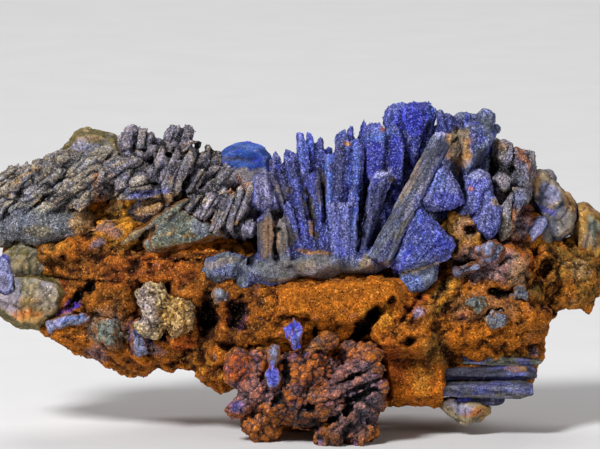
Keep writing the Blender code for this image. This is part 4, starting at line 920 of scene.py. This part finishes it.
NODULE_STAINS = (
    Stain(-9.0, 26.4, 2.1, 2.2, 0, "gold"),
    Stain(1.2, 19.2, 6.4, 4.0, 0, "orange", 0.8),
    Stain(6.9, 15.0, 4.4, 1.9, 0, "orange"),
    Stain(13.0, 13.6, 6.4, 11.0, 0, "violet"),
    Stain(19.0, 21.6, 1.1, 1.2, 0, "orange"),
    Stain(-11.9, 14.2, 5.6, 6.2, 0, "violet", 0.7),
    Stain(-15.0, 20.4, 3.0, 4.0, 0, "red"),
    Stain(-9.8, 6.6, 4.8, 4.6, 0, "orange", 0.9),
    Stain(-16.0, 10.4, 2.0, 1.4, 20, "blue"),
    Stain(1.6, 24.8, 1.2, 1.4, 0, "sky"),
    Stain(3.0, 10.0, 4.4, 1.8, 0, "brown"),
    Stain(2.3, 10.5, 1.3, 0.9, 0, "black"),
    Stain(11.7, 10.5, 1.1, 1.8, 0, "black"),
    Stain(3.0, 13.4, 2.4, 1.4, 0, "teal", 0.7),
    Stain(15.0, 24.0, 3.0, 2.6, 0, "orange", 0.8),
    Stain(2.0, 25.4, 3.4, 1.4, 0, "gold"),
    Stain(1.0, 6.0, 18.0, 6.0, 0, "brown", 0.5),
    Stain(0.0, 18.0, 18.0, 8.0, 0, "red", 0.4),
)
NODULE_AXES = (
    (-7.6, 14.8, -17.6, 9.0), (6.0, 14.0, 20.4, 20.4), (7.0, 10.0, 21.0, 15.2), (9.6, 18.0, 20.2, 23.6),
    (8.2, 3.4, 14.2, 11.6), (1.0, 23.6, 9.4, 27.6), (-1.6, 16.0, 4.4, 23.6), (-13.0, 16.0, -12.0, 24.0),
    (-12.0, 2.0, -9.0, 10.0), (14.0, 2.0, 15.0, 8.0), (5.0, 2.0, 8.0, 6.0),
)
NODULE_PITS = (
    Pit(2.3, 10.5, 1.3, 0.8, 0, 3.0),
    Pit(11.7, 10.5, 1.0, 1.8, 0, 3.4),
    Pit(13.0, 18.0, 5.6, 0.5, 24, 2.0),
    Pit(14.0, 13.0, 5.6, 0.5, 22, 2.0),
    Pit(-3.4, 20.0, 0.8, 4.6, 0, 2.4),
    Pit(3.0, 5.6, 4.0, 1.0, 0, 2.0),
    Pit(-6.0, 12.0, 2.4, 0.7, 60, 2.0),
)
CREAM_STAINS = (
    Stain(42.0, 9.0, 7.0, 4.0, 0, "olive", 0.7),
    Stain(45.6, 9.0, 2.4, 2.0, 0, "gold", 0.8),
    Stain(43.4, 8.8, 2.9, 1.1, 10, "orange"),
    Stain(39.8, 10.2, 3.4, 1.6, -20, "lavender", 0.7),
)
# Painted shade: night darkens the second foot blade all over and along a line. The gold is a stain.
SLOT_SHADE_AND_STAINS = (
    Stain(48.0, 18.0, 16.0, 8.0, 0, "night", 0.7),
    Stain(43.0, 17.6, 7.5, 0.6, 0, "night"),
    Stain(54.0, 19.6, 3.0, 0.8, 0, "gold", 0.5),
)

# Piece by piece: its finish, its base colour, its stains, and the axes that its crystals grow along.
DRESS = {
    "fan_crystals": Dress("azurite", "blue", FAN_STAINS, FAN_AXES),
    "log_crystal": Dress("azurite", "slate", LOG_STAINS, ((19.6, 46.4, 36.0, 78.0),)),
    "sliver_crystal": Dress("azurite", "blue", (Stain(25.2, 54.0, 6.2, 0.9, 69, "red", 0.7),),
                            ((24.0, 47.0, 27.6, 60.2), (26.6, 56.0, 33.2, 70.4))),
    "shield_crystals": Dress("azurite", "blue", SHIELD_STAINS, ((33.0, 59.0, 37.0, 71.0),)),
    "low_shield_crystal": Dress("azurite", "blue", LOW_SHIELD_STAINS,
                                ((24.0, 45.0, 34.0, 58.0), (24.0, 41.0, 34.0, 45.0))),
    "tongue_crystals": Dress("azurite", "blue", TONGUE_STAINS,
                             ((40.0, 57.0, 45.0, 69.0), (47.0, 52.0, 49.0, 62.0))),
    "crown_crystals": Dress("azurite", "slate", CROWN_STAINS,
                            ((41.5, 68.0, 44.0, 81.0), (36.6, 76.0, 35.0, 84.2), (38.4, 77.0, 36.9, 83.2))),
    "blue_back_crystal": Dress("azurite", "azure", BLUE_BACK_STAINS, ((-20.0, 68.0, -8.0, 72.0),), 0.15),
    "lavender_tongue": Dress("azurite", "lavender", (), ((57.0, 51.5, 61.0, 57.5),), 0.5),
    "lavender_edge_crystal": Dress("azurite", "lavender", (Stain(-74.0, 41.0, 1.4, 2.0, 0, "violet"),),
                                   ((-76.0, 39.0, -73.0, 48.0),), 0.4),
    "wedge_crystal": Dress("nub", "royal", (), ((-1.0, 25.0, -1.8, 32.0),), 0.3),
    "rod_crystal": Dress("nub", "slate", (Stain(-7.0, 18.0, 1.6, 3.0, 0, "royal"),),
                         ((-6.8, 15.6, -6.6, 25.6),), 0.3),
    "azurite_nub_1": Dress("nub", "slate", (Stain(-58.0, 31.8, 4.4, 0.6, 14, "sky", 0.6),
                                            Stain(-61.0, 30.8, 1.6, 0.8, 0, "lavender", 0.7)),
                           ((-62.6, 30.4, -53.2, 32.8),), 0.4),
    "azurite_nub_2": Dress("nub", "slate", (Stain(-40.4, 29.0, 1.0, 2.0, 0, "blue", 0.8),
                                            Stain(-38.6, 25.0, 1.6, 1.4, 0, "lavender", 0.5)),
                           ((-39.8, 23.4, -41.2, 31.4),), 0.4),
    "azurite_nub_4": Dress("nub", "slate", (), (), 0.4),
    "azurite_nub_5": Dress("nub", "slate", (Stain(46.0, 41.6, 1.6, 1.6, 0, "royal"),),
                           ((38.6, 43.6, 45.4, 46.2),), 0.4),
    "foot_blade_1": Dress("azurite", "teal", (Stain(50.0, 22.0, 12.0, 2.0, 0, "olive", 0.5),),
                          ((41.0, 22.2, 60.0, 21.4),), 0.5, 0.2),
    "foot_blade_2": Dress("azurite", "ash", SLOT_SHADE_AND_STAINS, ((36.6, 18.2, 58.4, 18.6),), 0.3, 0.35),
    "foot_blade_3": Dress("azurite", "ash", (Stain(48.0, 14.6, 14.0, 4.0, 0, "ash", 0.7),
                                             Stain(48.0, 15.4, 11.0, 0.8, 0, "lavender", 0.25),
                                             Stain(48.0, 14.2, 11.0, 0.7, 0, "blue", 0.12),
                                             Stain(48.0, 12.8, 11.0, 0.5, 0, "pale", 0.7)),
                          ((36.0, 14.6, 57.6, 14.4),), 0.3, 0.35),
    # The lowest foot blade is coloured night all over: painted shade.
    "foot_blade_4": Dress("azurite", "night", (), ((39.6, 11.8, 50.8, 11.8),), 0.5),
    "finger_crystals": Dress("coated", "violet", FINGER_STAINS, FINGER_AXES),
    "ridged_crust": Dress("ridged", "taupe", RIDGE_STAINS, RIDGE_AXES, 1.0, 0.5),
    "shoulder_crystals": Dress("coated", "violet", SHOULDER_STAINS,
                               ((51.0, 69.0, 51.5, 77.0), (55.0, 64.0, 56.0, 75.0), (50.5, 63.5, 51.0, 70.0))),
    "rimmed_crystal": Dress("coated", "taupe", RIMMED_STAINS,
                            ((51.5, 52.0, 52.0, 62.0), (54.0, 58.0, 55.0, 64.6))),
    "azurite_nodule": Dress("nodule", "rust", NODULE_STAINS, NODULE_AXES, 0.5, 0.4),
    "teal_crust": Dress("crust", "teal", TEAL_STAINS, ((-44.4, 51.0, -27.8, 62.2), (-37.0, 50.0, -20.0, 54.0))),
    "azurite_nub_3": Dress("pebble", "teal"),
    "azurite_nub_6": Dress("pebble", "teal"),
    "azurite_nub_7": Dress("pebble", "slate"),
    "azurite_nub_8": Dress("pebble", "slate"),
    "azurite_nub_9": Dress("pebble", "slate"),
    "pale_back_lump": Dress("pale", "pale", PALE_BACK_STAINS),
    "pale_right_lump": Dress("broken", "slate", PALE_RIGHT_STAINS,
                             ((57.0, 56.0, 64.0, 68.0), (62.0, 50.0, 70.0, 60.0))),
    "pale_right_slab": Dress("broken", "olive", SLAB_STAINS),
    "pale_left_lump": Dress("pale", "pale", PALE_LEFT_STAINS, (), 1.0, 0.5),
    "cream_lump": Dress("broken", "taupe", CREAM_STAINS),
    "granular_druse": Dress("druse", "cream", DRUSE_STAINS),
    "gossan_matrix": Dress("gossan", "rust", MATRIX_STAINS, (), 1.0, 0.3),
}
PITS = {
    "gossan_matrix": MATRIX_PITS,
    "fan_crystals": FAN_PITS,
    "azurite_nodule": NODULE_PITS,
    "ridged_crust": (
        Pit(-76.0, 54.0, 5.0, 4.0, 0, 0.0, 0.0, -1.2),
        Pit(-75.0, 70.0, 6.0, 3.0, 15, 0.0, 0.0, -1.3),
        Pit(-63.0, 72.0, 6.0, 3.0, 30, 0.0, -0.4, 1.0),
    ),
    "finger_crystals": (Pit(-25.0, 73.0, 3.4, 3.0, 0, 0.0, 0.0, 1.4),),
}
CALM = {
    "gossan_matrix": (
        Zone(29.0, 19.0, 8.0, 8.0, 0),
        Zone(11.0, 37.0, 16.0, 4.6, 4),
    ),
    "blue_back_crystal": (Zone(-14.0, 70.0, 12.0, 9.0, 0),),
    "fan_crystals": (Zone(3.0, 44.5, 16.0, 3.4, 1), Zone(20.0, 72.0, 6.0, 6.0, 0), Zone(11.2, 54.0, 3.6, 6.0, 0)),
    "ridged_crust": (Zone(-64.0, 55.0, 12.0, 4.5, 0),),
}


def nodes_with(*finishes):
    return [node for node, dress in DRESS.items() if dress.finish in finishes]


def wear(piece, slot):
    """Gives a piece the stone of a slot and lets it ride with the specimen."""
    piece.data.materials.append(bpy.data.materials["grown_" + slot])
    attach(piece, "root")


def keep_in_box(piece):
    """Keeps a piece close to the specimen's box, and flat where it stands on the floor."""
    places = places_of(piece.data)
    places[:, 2] = np.where(places[:, 2] < FLOOR_SNAP, 0.0, places[:, 2])
    low, high = np.array(CAD_BOX[0]) - BOX_MARGIN, np.array(CAD_BOX[1]) + BOX_MARGIN
    low[2] = 0.0
    set_places(piece.data, np.clip(places, low, high))


def grow(node):
    """Replaces a CAD node by its grown surface."""
    dress = DRESS[node]
    finish = FINISHES[dress.finish]
    surface = settings().surface
    piece = copy_of(node, node + "_grown")
    swell(piece, surface.joint_cover + dress.cover * MM)
    remesh(piece, getattr(surface, finish.facet))
    shade = dig_pits(piece, PITS.get(node, ()))
    shown = shown_places(places_of(piece.data))
    turned, number, gap = along_axes(shown, dress.axes)
    calm = calmness(shown, CALM.get(node, ()))
    tone_and_shade = grow_relief(piece, finish, turned, number, gap, calm, list(DRESS).index(node) * 10)
    keep_in_box(piece)
    paint(piece, dress, finish, turned, tone_and_shade * shade)
    make_active(piece)
    bpy.ops.object.shade_smooth()
    wear(piece, finish.slot)
    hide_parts(node)


def spots_on(carrier, count, seed):
    """Places, normals, tints and flecks picked over a grown surface, more of them where it faces the display side
    or up, and the generator that picked them."""
    mesh = carrier.data
    mesh.calc_loop_triangles()
    corners = np.empty(len(mesh.loop_triangles) * 3, np.int32)
    mesh.loop_triangles.foreach_get("vertices", corners)
    corners = corners.reshape(-1, 3)
    places = places_of(mesh)
    first, second, third = (places[corners[:, i]] for i in range(3))
    crossed = np.cross(second - first, third - first)
    areas = np.linalg.norm(crossed, axis=1)
    normals = crossed / np.maximum(areas, 1e-15)[:, None]
    weights = areas * np.clip(0.3 - normals[:, 1] + 0.4 * normals[:, 2], 0.12, 1.2)
    rng = np.random.default_rng(seed)
    picked = rng.choice(len(areas), size=count, p=weights / weights.sum())
    share = rng.dirichlet((1, 1, 1), size=count)
    spots = (share[:, :1] * first[picked] + share[:, 1:2] * second[picked] + share[:, 2:] * third[picked])
    # The grains take the surface's colour, painted shade and highlight included.
    tint = np.empty(len(mesh.vertices) * 4, np.float32)
    mesh.color_attributes["tint"].data.foreach_get("color", tint)
    tint = tint.reshape(-1, 4)[corners[picked, 0]]
    return spots, normals[picked], tint[:, :3], tint[:, 3:], rng


def turns(count, rng):
    """Random rotations, as an array of 3 by 3 matrices."""
    quads = rng.normal(size=(count, 4))
    w, x, y, z = (quads / np.linalg.norm(quads, axis=1)[:, None]).T
    return np.stack((1 - 2 * (y * y + z * z), 2 * (x * y - z * w), 2 * (x * z + y * w),
                     2 * (x * y + z * w), 1 - 2 * (x * x + z * z), 2 * (y * z - x * w),
                     2 * (x * z - y * w), 2 * (y * z + x * w), 1 - 2 * (x * x + y * y)), axis=1).reshape(-1, 3, 3)


def one_crumb():
    deselect_all()
    bpy.ops.mesh.primitive_uv_sphere_add(segments=5, ring_count=3, radius=0.5)
    return taken_shape()


def one_grain():
    deselect_all()
    bpy.ops.mesh.primitive_cone_add(vertices=5, radius1=0.5, depth=0.9)
    return taken_shape()


def taken_shape():
    """The corners and faces of the grain just made, which is then removed."""
    grain = bpy.context.object
    corners = places_of(grain.data)
    faces = [list(polygon.vertices) for polygon in grain.data.polygons]
    bpy.data.objects.remove(grain)
    return corners, faces


def strew(name, spots, normals, tint, sizes, shape, rng, slot):
    """One piece with a grain at each spot, half sunk in."""
    corners, faces = shape
    count = len(spots)
    stretch = rng.uniform(0.7, 1.3, size=(count, 1, 3))
    rough = rng.uniform(0.8, 1.2, size=(count, len(corners), 1))
    placed = np.einsum("nij,nkj->nki", turns(count, rng), corners[None] * stretch * rough)
    placed = placed * sizes[:, None, None] + (spots + normals * sizes[:, None] * 0.1)[:, None]
    mesh = bpy.data.meshes.new(name)
    steps = np.arange(count) * len(corners)
    loops = np.concatenate([np.array(face) for face in faces])
    sizes_of_faces = np.array([len(face) for face in faces])
    mesh.vertices.add(count * len(corners))
    mesh.loops.add(count * len(loops))
    mesh.polygons.add(count * len(faces))
    mesh.vertices.foreach_set("co", placed.astype(np.float32).ravel())
    mesh.loops.foreach_set("vertex_index", (steps[:, None] + loops[None]).astype(np.int32).ravel())
    starts = np.concatenate(([0], np.cumsum(np.tile(sizes_of_faces, count))[:-1]))
    mesh.polygons.foreach_set("loop_start", starts.astype(np.int32))
    mesh.update(calc_edges=True)
    mesh.validate()
    set_tint(mesh, np.repeat(tint, len(corners), axis=0), 0.6)
    piece = bpy.data.objects.new(name, mesh)
    bpy.context.scene.collection.objects.link(piece)
    keep_in_box(piece)
    wear(piece, slot)


class MakeFinishes(bpy.types.Operator):
    """Makes the stone finishes"""

    bl_idname = "specimen.finishes"
    bl_label = "Finishes"

    def execute(self, context):
        make_materials()
        return {"FINISHED"}


class GrowMatrix(bpy.types.Operator):
    """Grows the rusty matrix"""

    bl_idname = "specimen.matrix"
    bl_label = "Matrix"

    def execute(self, context):
        grow("gossan_matrix")
        return {"FINISHED"}


class GrowFan(bpy.types.Operator):
    """Grows the fan of blue blades"""

    bl_idname = "specimen.fan"
    bl_label = "Fan"

    def execute(self, context):
        grow("fan_crystals")
        return {"FINISHED"}


class GrowBlueCrystals(bpy.types.Operator):
    """Grows the separate blue crystals"""

    bl_idname = "specimen.blue_crystals"
    bl_label = "Blue crystals"

    def execute(self, context):
        for node in nodes_with("azurite", "nub"):
            if node != "fan_crystals":
                grow(node)
        return {"FINISHED"}


class GrowCoatedCrystals(bpy.types.Operator):
    """Grows the coated finger crystals, ridges and nodule"""

    bl_idname = "specimen.coated_crystals"
    bl_label = "Coated crystals"

    def execute(self, context):
        for node in nodes_with("coated", "ridged", "nodule"):
            grow(node)
        return {"FINISHED"}


class GrowCrusts(bpy.types.Operator):
    """Grows the grey crusts, the pale lumps and the sugary lump"""

    bl_idname = "specimen.crusts"
    bl_label = "Crusts"

    def execute(self, context):
        for node in nodes_with("crust", "pebble", "pale", "broken", "druse"):
            grow(node)
        return {"FINISHED"}


class StrewCrumbs(bpy.types.Operator):
    """Strews rusty crumbs over the matrix"""

    bl_idname = "specimen.crumbs"
    bl_label = "Rusty crumbs"

    def execute(self, context):
        count = settings().surface.crumb_count
        spots, normals, tint, _, rng = spots_on(bpy.data.objects["gossan_matrix_grown"], count, 11)
        sizes = rng.gamma(4.0, 0.12, size=count).clip(0.25, 1.1) * MM
        level = rng.uniform(0.75, 1.3, size=(count, 1))
        strew("rusty_crumbs", spots, normals, tint * level, sizes, one_crumb(), rng, "gossan")
        return {"FINISHED"}


class StrewGrains(bpy.types.Operator):
    """Strews sugary grains over the blue and the coated crystals"""

    bl_idname = "specimen.grains"
    bl_label = "Sugary grains"

    def execute(self, context):
        count = settings().surface.grain_count
        self.strew_over("azurite_grains", ("azurite",), count, 12, (0.30, 0.32, 0.56), "azurite")
        self.strew_over("coated_grains", ("coated", "ridged"), count, 13, (0.34, 0.31, 0.28), "coated_azurite")
        return {"FINISHED"}

    def strew_over(self, name, finishes, count, seed, pale, slot):
        nodes = nodes_with(*finishes)
        carriers = [bpy.data.objects[node + "_grown"] for node in nodes]
        weights = np.array([DRESS[node].flecks * len(carrier.data.vertices)
                            for node, carrier in zip(nodes, carriers)])
        shares = np.round(count * weights / weights.sum()).astype(int)
        picked = [spots_on(carrier, share, seed + i)[:4]
                  for i, (carrier, share) in enumerate(zip(carriers, shares))]
        spots, normals, tint, flecks = (np.concatenate(parts) for parts in zip(*picked))
        rng = np.random.default_rng(seed)
        sizes = rng.uniform(0.6, 1.4, size=len(spots)) * settings().surface.grain_size
        white = rng.uniform(0.0, 0.8, size=(len(spots), 1)) ** 2 * flecks
        tint = tint * (1 - white) * 1.2 + np.array(pale) * white
        strew(name, spots, normals, tint, sizes, one_grain(), rng, slot)


class BuildStage(bpy.types.Operator):
    """Adds the pale floor and backdrop, the camera and the studio lights"""

    bl_idname = "specimen.stage"
    bl_label = "Stage"

    def execute(self, context):
        self.add_backdrop()
        self.add_camera(context)
        self.add_lights(context)
        return {"FINISHED"}

    def add_backdrop(self):
        deselect_all()
        bpy.ops.mesh.primitive_plane_add(size=6.0, location=(0, 0, 0))
        floor = bpy.context.object
        floor.name = "backdrop"
        wiring = Wiring("backdrop_paper", 0.9, 0.2)
        place = wiring.node("ShaderNodeTexCoord").outputs["Object"]
        mottle = wiring.node("ShaderNodeTexNoise", {"Vector": place, "Scale": 40.0, "Detail": 3.0})
        colour = wiring.mix(mottle.outputs["Fac"], (0.74, 0.74, 0.75, 1.0), (0.80, 0.80, 0.81, 1.0))
        wiring.feed(colour, wiring.shader.inputs["Base Color"])
        floor.data.materials.append(wiring.material)

    def add_camera(self, context):
        lens = settings().stage.lens
        camera = bpy.data.objects.new("camera", bpy.data.cameras.new("camera"))
        context.scene.collection.objects.link(camera)
        camera.data.lens = lens
        distance = VIEW_WIDTH * lens / camera.data.sensor_width
        camera.location = seen(0.0, VIEW_CENTRE_UP, -distance)
        camera.rotation_euler = (math.radians(90) - DISPLAY_TILT, 0.0, 0.0)
        camera.data.clip_start, camera.data.clip_end = 0.05, 30.0
        context.scene.camera = camera

    def add_lights(self, context):
        stage = settings().stage
        for name, power, place, aim, size in (
                ("key", stage.key_power, (-0.55, -0.75, 0.95), seen(0, 45, 0), 0.30),
                ("fill", stage.fill_power, (0.9, -0.8, 0.35), seen(0, 45, 0), 0.8),
                ("paper", stage.paper_power, (0.0, 1.0, 1.3), Vector((0.0, 0.7, 0.0)), 1.0)):
            light = bpy.data.objects.new(name, bpy.data.lights.new(name, "AREA"))
            context.scene.collection.objects.link(light)
            light.data.energy = power
            light.data.size = size
            light.location = Vector(place)
            light.rotation_euler = (aim - light.location).to_track_quat("-Z", "Y").to_euler()
        world = bpy.data.worlds.new("studio")
        world.use_nodes = True
        world.node_tree.nodes["Background"].inputs["Color"].default_value = (1.0, 0.97, 0.94, 1.0)
        world.node_tree.nodes["Background"].inputs["Strength"].default_value = stage.sky_strength
        context.scene.world = world
        context.scene.view_settings.view_transform = "Standard"


class SPECIMEN_PT_panel(bpy.types.Panel):
    """Lists the steps that dress the specimen"""

    bl_label = "Azurite specimen"
    bl_idname = "SPECIMEN_PT_panel"
    bl_space_type = "VIEW_3D"
    bl_region_type = "UI"
    bl_category = "Specimen"

    def draw(self, context):
        for operator in OPERATORS:
            self.layout.operator(operator.bl_idname)


OPERATORS = (MakeFinishes, GrowMatrix, GrowFan, GrowBlueCrystals, GrowCoatedCrystals, GrowCrusts, StrewCrumbs,
             StrewGrains, BuildStage)
CLASSES = (SurfaceSettings, ColourSettings, StageSettings, SpecimenSettings, *OPERATORS, SPECIMEN_PT_panel)


def register():
    for item in CLASSES:
        bpy.utils.register_class(item)
    bpy.types.Scene.specimen = PointerProperty(type=SpecimenSettings)


def unregister():
    del bpy.types.Scene.specimen
    for item in reversed(CLASSES):
        bpy.utils.unregister_class(item)


def main():
    register()
    for operator in OPERATORS:
        group, name = operator.bl_idname.split(".")
        getattr(getattr(bpy.ops, group), name)()


if __name__ == "__main__":
    main()
